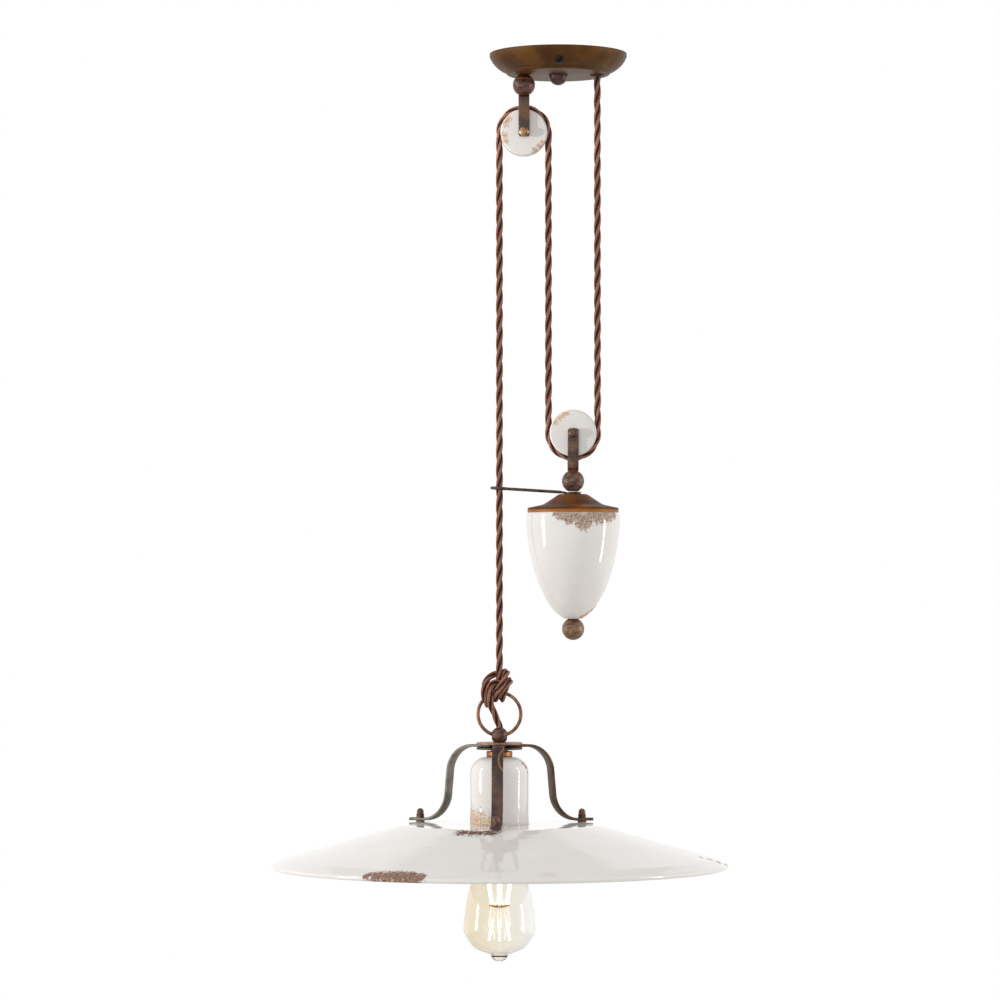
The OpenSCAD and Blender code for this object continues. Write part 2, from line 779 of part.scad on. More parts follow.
// Outline of the cap's outside from its flat top to its band, moved inwards by t
function cap_side(t) = concat(
    arc([cap_flat_r, cap_top_z - cap_shoulder_r], cap_shoulder_r - t, 90, 90 - cap_slope),
    arc([cap_out_x + cap_flare_r * sin(brim_slope), cap_top_z - cap_drop_out + cap_flare_r * cos(brim_slope)],
        cap_flare_r + t, 270 - cap_slope, 270 - brim_slope),
    [[cap_d / 2 - t, cap_edge_z - t / cos(brim_slope) + t * tan(brim_slope)]]
);

module weight_cap() {
    outer = cap_side(0);
    inner = cap_side(cap_wall);
    reversed = [for (i = [len(inner) - 1:-1:0]) inner[i]];
    bore_r = rod_d / 2 + hole_gap;
    color(cap_rust) at_weight() turned(concat(
        [[bore_r, cap_top_z]],
        outer,
        [[cap_d / 2, bell_top_z], [cap_d / 2 - cap_wall, bell_top_z]],
        reversed,
        [[bore_r, cap_top_z - cap_wall]]
    ));
}

// Points down a bell-shaped curve of radius r and height h, from z down to the share end of its height
function bell(r, h, z, end, n = 20, start = 0) =
    [for (i = [0:n]) let (t = start + (end - start) * (1 - pow(1 - i / n, 1.6)))
        [r * sqrt(max(0, 1 - pow(t, bell_power))), z - t * h]];

module weight_bell() {
    inner = bell(cavity_r, cavity_h, bell_z, 1);
    reversed = [for (i = [len(inner) - 2:-1:0]) inner[i]];
    bore_r = rod_d / 2 + hole_gap;
    lip_r = cap_d / 2 - 0.2;
    color(glaze) at_weight() difference() {
        turned(concat(
            [[cavity_r, bell_top_z]],
            bow([lip_r, bell_top_z], [bell_r, bell_z], -4.5, 5),
            bell(bell_r, bell_h, bell_z, bell_foot_t),
            [[0, bell_foot_z], [0, bell_z - cavity_h]],
            reversed
        ));
        translate([0, 0, bell_foot_z - 1]) cylinder(r = bore_r, h = bell_wall + 10);
    }
}

ballast_r = cavity_r - ballast_gap;
ballast_h = cavity_h - ballast_gap;
split_t = ballast_split / ballast_h;

module ballast_lower() {
    curve = bell(ballast_r, ballast_h, bell_z, 1, 14, split_t);
    color("dimgray") at_weight() difference() {
        turned(concat([[0, bell_z - ballast_split]], curve));
        translate([0, 0, bell_z - bell_h]) cylinder(d = rod_d + 2 * hole_gap, h = bell_h);
    }
}

module ballast_upper() {
    curve = bell(ballast_r, ballast_h, bell_z, split_t, 8);
    boss_r = 20;
    boss_h = 6;
    color("dimgray") at_weight() difference() {
        turned(concat(
            [[0, bell_z + boss_h], [boss_r, bell_z + boss_h], [boss_r, bell_z]],
            curve,
            [[0, bell_z - ballast_split]]
        ));
        translate([0, 0, bell_z - bell_h]) cylinder(d = rod_d + 2 * hole_gap, h = 2 * bell_h);
    }
}

rod_end_z = bottom_ball_z - 2;

module weight_rod() {
    seat_z = lower_ball_z + ball_flat + fork_t;
    color("silver") at_weight(seat_z) mirror([0, 0, 1]) headed_screw(rod_d, 9, fork_head_h, seat_z - rod_end_z);
}

module bottom_ball() {
    color(rust) at_weight(bottom_ball_z)
        flat_ball(ball_d, ball_flat, ball_d, rod_d + 2 * shank_gap, rod_end_z - bottom_ball_z - 0.5, ball_d);
}

// ---- Hanging ring ----

// The ring's circle passes through the ball's middle, and its two ends stop short of the cord inside the ball
module hanging_ring() {
    end_a = asin(ring_end_x / ring_r);
    color(ring_rust) at_lamp(ring_z) rotate([90, 0, 0]) rotate(end_a - 90)
        rotate_extrude(angle = 360 - 2 * end_a) translate([ring_r, 0]) circle(d = ring_wire_d);
}

// ---- Lamp ----

// The widest reach of the ring's wire from the pivot's axis, at a distance x from the ball's middle
function ring_reach(x) =
    ring_r - sqrt(pow(ring_r, 2) - pow(x, 2)) + ring_wire_d / 2 / cos(asin(x / ring_r)) + pivot_gap;

tube_top_z = lamp_ball_z - ring_reach(nipple_d / 2) - 0.15;

// The ball's cross hole widens outwards, so that the ring's curved ends swing in it
module pivot_hole() {
    start_x = nipple_bore_d / 2 - 0.5;
    end_x = lamp_ball_d / 2 + 0.3;
    for (way = [0, 180]) rotate([0, 0, way]) translate([start_x, 0, 0]) rotate([0, 90, 0])
        cylinder(r1 = ring_reach(start_x), r2 = ring_reach(end_x), h = end_x - start_x);
}

module lamp_ball() {
    color(rust) at_lamp(lamp_ball_z) difference() {
        flat_ball(lamp_ball_d, lamp_ball_d, lamp_ball_flat, nipple_bore_d, -lamp_ball_d, lamp_ball_d);
        translate([0, 0, -lamp_ball_d]) cylinder(d = nipple_d + 2 * shank_gap,
            h = lamp_ball_d + tube_top_z - lamp_ball_z + 0.1);
        pivot_hole();
    }
}

module nipple_tube() {
    color(brass) at_lamp(nipple_end_z) washer(nipple_d, tube_top_z - nipple_end_z, nipple_bore_d);
}

module upper_disc() {
    color(ring_rust) at_lamp(disc_z - disc_t) washer(disc_d, disc_t, nipple_d + 2 * hole_gap);
}

module lower_disc() {
    color(rust) at_lamp(neck_z) washer(disc_d, disc_t, nipple_d + 2 * hole_gap);
}

module collar_nut() {
    neck_d = 16;
    color(copper) at_lamp(cup_z) difference() {
        union() {
            cylinder(d = collar_d, h = collar_h);
            translate([0, 0, collar_h]) cylinder(d = neck_d, h = neck_h);
        }
        translate([0, 0, -1]) cylinder(d = nipple_d + 2 * shank_gap, h = collar_h + neck_h + 2);
    }
}

module ceramic_cup() {
    r = cup_d / 2;
    in_r = r - cup_wall;
    bore_r = nipple_d / 2 + hole_gap;
    color(glaze) at_lamp() turned(concat(
        [[bore_r, cup_z]],
        arc([r - cup_shoulder_r, cup_z - cup_shoulder_r], cup_shoulder_r, 90, 0, 10),
        [[r, cup_end_z + 1], [r - 1, cup_end_z], [in_r, cup_end_z]],
        arc([r - cup_shoulder_r, cup_z - cup_shoulder_r], cup_shoulder_r - cup_wall, 0, 90, 8),
        [[bore_r, cup_in_z]]
    ));
}

// One strap arm in the plane of radius and height
strap_mid_z = strap_z - strap_t / 2;
foot_mid_z = foot_z + strap_t / 2;
arm_straight = (strap_mid_z - foot_mid_z - (shoulder_r + ankle_r) * (1 - sin(arm_lean))) / cos(arm_lean);
shoulder_x = foot_in_r - (shoulder_r + ankle_r) * cos(arm_lean) - arm_straight * sin(arm_lean);
strap_in_r = nipple_d / 2 + 1.5;

function arm_line(t) = concat(
    [[strap_in_r, strap_mid_z + t]],
    arc([shoulder_x, strap_mid_z - shoulder_r], shoulder_r + t, 90, arm_lean, 12),
    arc([foot_in_r, foot_mid_z + ankle_r], ankle_r - t, 180 + arm_lean, 270, 12),
    [[foot_out_r, foot_mid_z + t]]
);

module arm() {
    above = arm_line(strap_t / 2);
    below = arm_line(-strap_t / 2);
    reversed = [for (i = [len(below) - 1:-1:0]) below[i]];
    difference() {
        rotate([90, 0, 0]) translate([0, 0, -strap_w / 2]) linear_extrude(strap_w)
            polygon(concat(above, reversed));
        translate([bolt_r, 0, foot_z - 1]) cylinder(d = bolt_d + 2 * hole_gap, h = strap_t + 2);
    }
}

front_a = -90 + arm_turn;

module arm_front() {
    color(dark_steel) at_lamp() rotate(front_a) arm();
}

module arm_left() {
    color(dark_steel) at_lamp() rotate(front_a - 120) arm();
}

module arm_right() {
    color(dark_steel) at_lamp() rotate(front_a + 120) arm();
}

module bolt_places(z) {
    at_lamp(z) for (i = [0:2]) rotate(front_a + 120 * i) translate([bolt_r, 0, 0]) children();
}

pad_d = 8;

// The lower pads touch the curved edge of the flat top's underside with their outer edge
under_r = plateau_edge_r - shade_wall;
pad_drop = under_r - sqrt(pow(under_r, 2) - pow(bolt_r + pad_d / 2 - plateau_r, 2)) + 0.02;
low_pad_z = shade_z - shade_wall - pad_drop - pad_t;

module shade_pads() {
    color("burlywood") {
        bolt_places(shade_z) washer(pad_d, pad_t, bolt_d + 2 * hole_gap);
        bolt_places(low_pad_z) washer(pad_d, pad_t, bolt_d + 2 * hole_gap);
    }
}

module shade_bolts() {
    color("silver") bolt_places(low_pad_z)
        headed_screw(bolt_d, 7.4, 2.4, foot_z + strap_t + 5 - low_pad_z);
}

module domed_nuts() {
    hex_h = 3.5;
    dome_r = 3.2;
    stem_h = 2;
    color(rust) bolt_places(foot_z + strap_t) difference() {
        union() {
            cylinder(d = 7 / cos(30), h = hex_h, $fn = 6);
            cylinder(r = dome_r, h = hex_h + stem_h);
            translate([0, 0, hex_h + stem_h]) sphere(r = dome_r);
        }
        translate([0, 0, -5]) cylinder(d = bolt_d + 2 * shank_gap, h = 11);
    }
}

// ---- Shade ----

cone_x = plateau_r + plateau_edge_r * sin(shade_slope);
cone_drop = plateau_edge_r * (1 - cos(shade_slope));
shade_r = shade_d / 2;
band_x = shade_r - 2.5 - rim_band;
band_drop = cone_drop + (band_x - cone_x) * tan(shade_slope);
rim_x = shade_r - 2.5;
rim_drop = band_drop + rim_band * tan(rim_slope);
shade_hole_r = cup_d / 2 + 0.6;

// Outline of the shade's outside from its flat top to the band's edge, moved inwards by t
function shade_side(t) = concat(
    arc([plateau_r, shade_z - plateau_edge_r], plateau_edge_r - t, 90, 90 - shade_slope),
    [
        [band_x - t * sin(shade_slope), shade_z - band_drop - t * cos(shade_slope)],
        [rim_x - t * sin(rim_slope), shade_z - rim_drop - t * cos(rim_slope)]
    ]
);

module shade() {
    outer = shade_side(0);
    inner = shade_side(shade_wall);
    reversed = [for (i = [len(inner) - 1:-1:0]) inner[i]];
    lip_z = shade_z - rim_drop - lip_drop;
    lip_mid_r = shade_r - shade_wall / 2;
    color(glaze) difference() {
        at_lamp() turned(concat(
            [[shade_hole_r, shade_z]],
            outer,
            bow([rim_x, shade_z - rim_drop], [shade_r, shade_z - rim_drop - 2.4], -3, 4),
            arc([lip_mid_r, lip_z + shade_wall / 2], shade_wall / 2, 0, -180, 8),
            reversed,
            [[shade_hole_r, shade_z - shade_wall]]
        ));
        bolt_places(shade_z - shade_wall - 2) cylinder(d = bolt_d + 0.8, h = shade_wall + 4);
    }
}

// ---- Lampholder ----

module holder_cap() {
    wall = 3;
    color(black) at_lamp() difference() {
        translate([0, 0, holder_split_z]) cylinder(d = holder_d, h = cup_in_z - holder_split_z);
        translate([0, 0, holder_split_z - 1])
            cylinder(d = holder_d - 2 * wall, h = cup_in_z - holder_split_z - wall + 1 - 3);
        translate([0, 0, holder_split_z]) cylinder(d = nipple_d + 2 * shank_gap, h = 40);
        rotate_extrude() translate([holder_d / 2 - 8, cup_in_z - 8]) difference() {
            square([9, 9]);
            circle(r = 8);
        }
    }
}

shell_r = screw_d / 2 + 0.8;
shell_top_z = contact_z - 4;

module holder_body() {
    color("whitesmoke") at_lamp() difference() {
        translate([0, 0, holder_end_z]) cylinder(d = holder_d, h = holder_split_z - holder_end_z);
        translate([0, 0, holder_end_z - 1])
            cylinder(r = shell_r + shank_gap, h = contact_z + 2 - holder_end_z + 1);
        for (side = [-1, 1]) translate([side * 6, 0, contact_z]) cylinder(d = 3, h = 40);
    }
}

module screw_shell() {
    shell_t = 0.5;
    color(brass) at_lamp(holder_end_z + 1)
        washer(2 * shell_r, shell_top_z - holder_end_z - 1, 2 * (shell_r - shell_t));
}

module centre_contact() {
    color(brass) at_lamp(contact_z + 0.1) {
        translate([-5, -3, 1.3]) cube([13, 6, 0.6]);
        translate([0, 0, 0]) cylinder(d1 = 4, d2 = 6, h = 1.4);
    }
}

// ---- Bulb ----

cap_l = 26.5;
glass_top_z = contact_z - cap_l + 2;
belly_z = bulb_tip_z + 33;
glass_end_z = bulb_tip_z + 6;
neck_r = screw_d / 2 - 1.4;

// Outline of the glass from its neck to its round end, moved inwards by t
function glass_side(t) = through([
    [neck_r - t, glass_top_z],
    [neck_r + 0.9 - t, contact_z - cap_l - 3],
    [0.6 * bulb_d / 2 - t, glass_top_z - 0.34 * (glass_top_z - belly_z)],
    [0.85 * bulb_d / 2 - t, glass_top_z - 0.6 * (glass_top_z - belly_z)],
    [bulb_d / 2 - t, belly_z],
    [0.93 * (bulb_d / 2 - t), belly_z - 0.39 * (belly_z - glass_end_z - t)],
    [0.69 * (bulb_d / 2 - t), belly_z - 0.76 * (belly_z - glass_end_z - t)],
    [0.3 * (bulb_d / 2 - t), belly_z - 0.97 * (belly_z - glass_end_z - t)],
    [0, glass_end_z + t]
], 4);

module bulb_glass() {
    outer = glass_side(0);
    inner = glass_side(glass_t);
    reversed = [for (i = [len(inner) - 1:-1:0]) inner[i]];
    nub_r = 7.8;
    color("wheat", 0.45) at_lamp() union() {
        turned(concat(outer, reversed));
        difference() {
            translate([0, 0, glass_end_z]) intersection() {
                translate([0, 0, nub_r - 6]) sphere(r = nub_r);
                translate([-nub_r, -nub_r, -6]) cube([2 * nub_r, 2 * nub_r, 6.6]);
            }
        }
    }
}

module bulb_cap() {
    r = screw_d / 2;
    t = 0.4;
    thread_pitch = 3.6;
    thread_top_z = contact_z - 5;
    shoulder_z = contact_z - 22;
    skirt_z = contact_z - cap_l;
    outer = [for (i = [0:18]) [r - 0.45 - 0.45 * cos(i * 90), thread_top_z - i * thread_pitch / 4]];
    color("silver") at_lamp() {
        turned(concat(
            [[0, contact_z - 2], [6, contact_z - 2], [r - 2, thread_top_z]],
            outer,
            [[r - 0.9, skirt_z], [neck_r + 0.1, skirt_z], [neck_r + 0.1, shoulder_z - 1], [0, shoulder_z - 1]]
        ));
        translate([0, 0, contact_z - 2 - tiny]) cylinder(d1 = 9, d2 = 6, h = 2);
    }
}

stem_top_z = contact_z - 23.2;
stem_end_z = belly_z + 22;
wire_ring_r = 9;
stick_l = 34;

module bulb_stem() {
    color("white", 0.6) at_lamp() turned([
        [0, stem_top_z], [neck_r - glass_t - 0.4, stem_top_z], [neck_r - glass_t - 1, stem_top_z - 5],
        [4.5, stem_top_z - 16], [2.6, stem_top_z - 24], [2.2, stem_end_z + 2], [3.4, stem_end_z], [0, stem_end_z - 2]
    ]);
}

module bulb_filaments() {
    stick_d = 1.8;
    lean = 12;
    color("gold") at_lamp() for (i = [0:5]) rotate(60 * i + 30) {
        translate([4, 0, stem_end_z - 2]) rotate([0, 180 - lean, 0]) cylinder(d = stick_d, h = stick_l, $fn = 16);
        translate([2.5, 0, stem_end_z - 1]) rotate([0, 90, 0]) cylinder(d = 0.8, h = 2.1, $fn = 16);
    }
}

// ---- Cord ----

module cord_run(x, top_z, end_z) {
    color(cord_brown) translate([x, 0, end_z]) cylinder(d = cord_d, h = top_z - end_z);
}

module cord_turn(x, z, start) {
    color(cord_brown) translate([x, 0, z]) rotate([90, 0, 0]) rotate(start) rotate_extrude(angle = 180)
        translate([turn_r, 0]) circle(d = cord_d, $fn = 32);
}

knot_z = ring_z + ring_r;

module cord_fixed_run() {
    cord_run(fixed_x, cord_top_z, lower_axle_z);
}

module cord_middle_run() {
    cord_run(middle_x, upper_axle_z, lower_axle_z);
}

module cord_lamp_run() {
    cord_run(lamp_x, upper_axle_z, knot_z + knot_top + cord_gap);
}

module cord_upper_turn() {
    cord_turn(upper_x, upper_axle_z, 0);
}

module cord_lower_turn() {
    cord_turn(lower_x, lower_axle_z, 180);
}

module cord_knot() {
    color(cord_brown) at_lamp(knot_z) tube_along(through(knot_route, 2), cord_d - knot_squeeze, 8);
}

module cord_tail() {
    color(cord_brown) at_lamp(knot_z) tube_along(through(tail_route, 2), cord_d - knot_squeeze, 8);
}

module cord_lamp_end() {
    end_z = nipple_end_z - 6;
    mouth_in = 0.9;
    cord_run(lamp_x, lamp_ball_z + lamp_ball_d / 2 - mouth_in, end_z);
}

canopy_shell();
ceiling_bracket();
canopy_side_screws();
centre_stud();
centre_cap_nut();
upper_ball();
upper_fork();
upper_fork_screw();
upper_screw_nut();
upper_axle();
cord_bush();
cord_grip();
terminal_block();
core_wires();
upper_pulley_wheel();
upper_pulley_bush();
lower_pulley_wheel();
lower_pulley_bush();
lower_fork();
lower_axle();
lower_ball();
pale_washer();
guide_arm();
weight_cap();
weight_bell();
ballast_upper();
ballast_lower();
weight_rod();
bottom_ball();
hanging_ring();
lamp_ball();
nipple_tube();
upper_disc();
lower_disc();
collar_nut();
ceramic_cup();
arm_front();
arm_left();
arm_right();
shade_pads();
shade_bolts();
domed_nuts();
holder_cap();
holder_body();
screw_shell();
centre_contact();
shade();
bulb_glass();
bulb_cap();
bulb_stem();
bulb_filaments();
cord_fixed_run();
cord_lower_turn();
cord_middle_run();
cord_upper_turn();
cord_lamp_run();
cord_knot();
cord_tail();
cord_lamp_end();
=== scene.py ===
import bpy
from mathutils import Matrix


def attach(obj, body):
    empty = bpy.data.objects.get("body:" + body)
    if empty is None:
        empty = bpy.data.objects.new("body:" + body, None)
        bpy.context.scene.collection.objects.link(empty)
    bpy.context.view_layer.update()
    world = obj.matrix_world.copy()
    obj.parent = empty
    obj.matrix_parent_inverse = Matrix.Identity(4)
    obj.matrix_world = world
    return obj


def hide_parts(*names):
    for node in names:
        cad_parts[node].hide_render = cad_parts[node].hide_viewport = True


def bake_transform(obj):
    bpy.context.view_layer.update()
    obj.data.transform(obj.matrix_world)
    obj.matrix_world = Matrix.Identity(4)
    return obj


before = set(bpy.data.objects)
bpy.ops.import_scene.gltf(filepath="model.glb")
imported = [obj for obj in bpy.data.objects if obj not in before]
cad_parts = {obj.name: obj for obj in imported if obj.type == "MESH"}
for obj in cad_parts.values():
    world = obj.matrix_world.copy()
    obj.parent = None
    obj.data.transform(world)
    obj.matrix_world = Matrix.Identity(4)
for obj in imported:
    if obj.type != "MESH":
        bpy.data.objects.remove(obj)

"""Rise and fall pendant: the dressed model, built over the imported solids.

Lengths are millimetres, but for those of the studio, which are metres. Meshes are in metres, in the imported
model's frame: the origin is the canopy's middle on the ceiling, +Z is up and the photograph looks along +Y.
"""

import logging
import math
from dataclasses import dataclass
from enum import Enum
from typing import Any

import bmesh
import bpy
import numpy as np

MM = 0.001
Array = np.ndarray
Tree = bpy.types.NodeTree
Socket = bpy.types.NodeSocket
log = logging.getLogger("pendant")


class Body(Enum):
    """The bodies that move on their own."""

    CANOPY = "canopy"
    UPPER_PULLEY = "upper_pulley"
    COUNTERWEIGHT = "counterweight"
    LOWER_PULLEY = "lower_pulley"
    HANGER = "hanger"
    LAMP = "lamp"


@dataclass(frozen=True)
class Layout:
    """Places that several sub-assemblies share, as the part's source has them."""

    fixed_x: float = 36.0
    lower_x: float = 13.5
    middle_x: float = -9.0
    upper_x: float = -31.5
    lamp_x: float = -54.0
    turn_r: float = 22.5
    cord_top_z: float = -10.2
    plate_z: float = -19.3
    upper_axle_z: float = -72.6
    lower_axle_z: float = -349.0
    fork_reach: float = 44.0
    ball_r: float = 10.25
    ball_flat: float = 9.3
    wheel_half: float = 6.0
    side_gap: float = 0.6
    ring_z: float = -606.4
    ring_r: float = 19.6
    disc_z: float = -632.2
    cup_z: float = -645.2
    shade_z: float = -707.0

    @property
    def upper_ball_z(self) -> float:
        """Middle of the ball under the canopy."""
        return self.plate_z - self.ball_flat

    @property
    def lower_ball_z(self) -> float:
        """Middle of the ball over the counterweight."""
        return self.lower_axle_z - self.fork_reach

    @property
    def cap_top_z(self) -> float:
        """Flat top of the counterweight's cap, under the pale washer and the guide arm's eye."""
        return self.lower_ball_z - self.ball_flat - 2.4

    @property
    def knot_z(self) -> float:
        """Top of the hanging ring's wire, from which the knot's route is measured."""
        return self.ring_z + self.ring_r


# ---- Curves in a plane ----


def arc(centre: tuple[float, float], radius: float, start: float, end: float, steps: int = 8) -> Array:
    """Points on a circle: c + r (cos t, sin t), t from start to end in degrees.

    Args:
        centre: The circle's middle.
        radius: Its radius.
        start: The first angle.
        end: The last angle.
        steps: Number of steps between them.

    Returns:
        Points, (steps + 1, 2).
    """
    t = np.radians(np.linspace(start, end, steps + 1))
    return np.array(centre) + radius * np.stack([np.cos(t), np.sin(t)], -1)


def bow(p: tuple[float, float], q: tuple[float, float], radius: float, steps: int = 8) -> Array:
    """Arc of a given radius between two points, its middle at (p + q) / 2 + sign(r) h n.

    h = sqrt(r^2 - |q - p|^2 / 4) and n is the way from p to q turned a quarter to the left.

    Args:
        p: First point.
        q: Last point.
        radius: Radius; its sign says on which side the middle lies.
        steps: Number of steps.

    Returns:
        Points, (steps + 1, 2).
    """
    a, b = np.array(p, float), np.array(q, float)
    d = b - a
    length = np.hypot(*d)
    h = math.sqrt(radius**2 - length**2 / 4)
    c = (a + b) / 2 + np.sign(radius) * h * np.array([-d[1], d[0]]) / length
    start = math.degrees(math.atan2(*(a - c)[::-1]))
    end = math.degrees(math.atan2(*(b - c)[::-1]))
    turn = (end - start + 540) % 360 - 180
    return arc((c[0], c[1]), abs(radius), start, start + turn, steps)


def eased(corners: Array, radii: float | list[float], steps: int = 4, closed: bool = False) -> Array:
    """Round a polygon's corners.

    At a corner p, with unit ways a and b to its neighbours and half their angle w, the arc's middle is
    c = p + (a + b) / |a + b| r / sin w. Its points are c + r (sin((1-k)v) A + sin(k v) B) / sin v, where A and B
    point from c to the touching points p + a r / tan w and p + b r / tan w, and v is the angle between them.

    Args:
        corners: Points, (n, 2).
        radii: One radius, or one for each corner; 0 keeps a corner.
        steps: Steps on each arc.
        closed: Whether the last corner joins the first.

    Returns:
        Points, in the same order.
    """
    p = np.asarray(corners, float)
    r = np.broadcast_to(np.asarray(radii, float), (len(p),)).copy()
    if not closed:
        r[[0, -1]] = 0
    a = np.roll(p, 1, 0) - p
    b = np.roll(p, -1, 0) - p
    a /= np.maximum(np.linalg.norm(a, axis=1, keepdims=True), 1e-9)
    b /= np.maximum(np.linalg.norm(b, axis=1, keepdims=True), 1e-9)
    w = np.arccos(np.clip((a * b).sum(1), -1, 1)) / 2
    r = np.where(w > math.radians(89), 0, r)
    t = (r / np.tan(np.maximum(w, 1e-3)))[:, None]
    way = a + b
    way /= np.maximum(np.linalg.norm(way, axis=1, keepdims=True), 1e-9)
    c = p + way * (r / np.sin(np.maximum(w, 1e-3)))[:, None]
    big_a, big_b = p + a * t - c, p + b * t - c
    v = np.maximum(math.pi - 2 * w, 1e-3)[:, None, None]
    k = np.linspace(0, 1, steps + 1)[None, :, None]
    points = c[:, None] + (np.sin((1 - k) * v) * big_a[:, None] + np.sin(k * v) * big_b[:, None]) / np.sin(v)
    rounded = r > 0
    keep = np.ones((len(p), steps + 1), bool)
    keep[~rounded, 1:] = False
    points[~rounded, 0] = p[~rounded]
    return points[keep]


def spline(points: list[list[float]], steps: int) -> Array:
    """A smooth curve through points: between b and c, with neighbours a and d,

    b + t/2 (c - a + t (2a - 5b + 4c - d + t (3b - a - 3c + d))), t from 0 to 1.

    Args:
        points: Points of any dimension.
        steps: Steps between each two.

    Returns:
        Points, ((n - 1) * steps + 1, dimension).
    """
    p = np.asarray(points, float)
    full = np.vstack([2 * p[:1] - p[1:2], p, 2 * p[-1:] - p[-2:-1]])
    a, b, c, d = (full[i : len(full) - 3 + i, None] for i in range(4))
    t = (np.arange(steps) / steps)[None, :, None]
    inner = b + t / 2 * (c - a + t * (2 * a - 5 * b + 4 * c - d + t * (3 * b - a - 3 * c + d)))
    return np.vstack([inner.reshape(-1, p.shape[1]), p[-1:]])


def along(points: Array, stations: Array) -> Array:
    """Points at given distances along a line of points, by straight interpolation.

    Args:
        points: The line, (n, dimension).
        stations: Distances from its first point.

    Returns:
        Points, (len(stations), dimension).
    """
    gone = np.concatenate([[0], np.cumsum(np.linalg.norm(np.diff(points, axis=0), axis=1))])
    return np.stack([np.interp(stations, gone, points[:, k]) for k in range(points.shape[1])], -1)


def length_of(points: Array) -> float:
    """Length of a line of points."""
    return float(np.linalg.norm(np.diff(points, axis=0), axis=1).sum())


def directions(points: Array) -> Array:
    """Unit tangents of a line of points."""
    d = np.gradient(points, axis=0)
    return d / np.linalg.norm(d, axis=1, keepdims=True)


# ---- Surfaces ----


@dataclass
class Surface:
    """A closed surface given as a grid of points in millimetres.

    points[i, j] is the i-th step along the first parameter and the j-th round the second. A row whose points
    all fall together is a pole.
    """

    points: Array
    loop: bool = False
    uv_round: float = 1.0
    uv_along: Array | None = None

    def quads(self) -> Array:
        """Corner numbers of every face, turned so that the enclosed volume is positive."""
        rows, cols = self.points.shape[:2]
        i = np.arange(rows if self.loop else rows - 1)[:, None]
        j = np.arange(cols)[None, :]
        up, right = (i + 1) % rows, (j + 1) % cols
        faces = np.stack([i * cols + j, i * cols + right, up * cols + right, up * cols + j], -1).reshape(-1, 4)
        flat = self.points.reshape(-1, 3)
        a, b, c, d = (flat[faces[:, k]] - flat[0] for k in range(4))
        volume = (a * np.cross(b, c)).sum() + (a * np.cross(c, d)).sum()
        return faces if volume > 0 else faces[:, ::-1]

    def uv(self) -> Array:
        """Round and along values for every face's corners, whole at the seam."""
        rows, cols = self.points.shape[:2]
        faces = self.quads()
        i, j = faces // cols, faces % cols
        seam = (j.max(1) - j.min(1) > 1)[:, None] & (j == 0)
        u = np.where(seam, cols, j) / cols * self.uv_round
        v = np.arange(rows) if self.uv_along is None else self.uv_along
        return np.stack([u, v[i]], -1)


def merge(mesh: bpy.types.Mesh, distance: float) -> None:
    """Join a mesh's points that lie closer than a distance in metres."""
    work = bmesh.new()
    work.from_mesh(mesh)
    bmesh.ops.remove_doubles(work, verts=work.verts, dist=distance)
    work.to_mesh(mesh)
    work.free()


def make(name: str, surfaces: list[Surface], sharp: float = 35.0) -> bpy.types.Object:
    """One object of one or more surfaces, with smooth shading up to an angle.

    Args:
        name: The object's name.
        surfaces: Its surfaces.
        sharp: Angle in degrees past which an edge stays crisp.

    Returns:
        The object, at the origin with its place in its mesh.
    """
    offsets = np.cumsum([0] + [s.points.shape[0] * s.points.shape[1] for s in surfaces[:-1]])
    points = np.concatenate([s.points.reshape(-1, 3) for s in surfaces]) * MM
    faces = np.concatenate([s.quads() + o for s, o in zip(surfaces, offsets)])
    mesh = bpy.data.meshes.new(name)
    mesh.from_pydata(points.tolist(), [], faces.tolist())
    layer = mesh.uv_layers.new(name="UVMap")
    layer.data.foreach_set("uv", np.concatenate([s.uv().reshape(-1, 2) for s in surfaces]).ravel())
    merge(mesh, 1e-7)
    return shown(name, mesh, sharp)


def placed(name: str, data: bpy.types.ID) -> bpy.types.Object:
    """A new object in the scene that holds a mesh, a camera or a light."""
    obj = bpy.data.objects.new(name, data)
    bpy.context.scene.collection.objects.link(obj)
    return obj


def shown(name: str, mesh: bpy.types.Mesh, sharp: float = 35.0) -> bpy.types.Object:
    """Put a finished mesh into the scene, smooth up to an angle."""
    mesh.polygons.foreach_set("use_smooth", np.ones(len(mesh.polygons), bool))
    mesh.set_sharp_from_angle(angle=math.radians(sharp))
    return placed(name, mesh)


def softened(node: str, name: str, width: float = 0.2) -> bpy.types.Object:
    """A merged copy of a small solid with its edges rounded.

    Args:
        node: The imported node.
        name: The copy's name.
        width: Width of the rounding; 0 leaves the edges.

    Returns:
        The copy, which replaces the node.
    """
    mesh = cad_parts[node].data.copy()
    mesh.name = name
    mesh.materials.clear()
    merge(mesh, 2e-6)
    if "custom_normal" in mesh.attributes:
        mesh.attributes.remove(mesh.attributes["custom_normal"])
    obj = shown(name, mesh, 30)
    if width:
        bevel = obj.modifiers.new("Edges", "BEVEL")
        bevel.width = width * MM
        bevel.segments = 2
        bevel.limit_method = "ANGLE"
        bevel.angle_limit = math.radians(40)
        bevel.use_clamp_overlap = True
    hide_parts(node)
    return obj


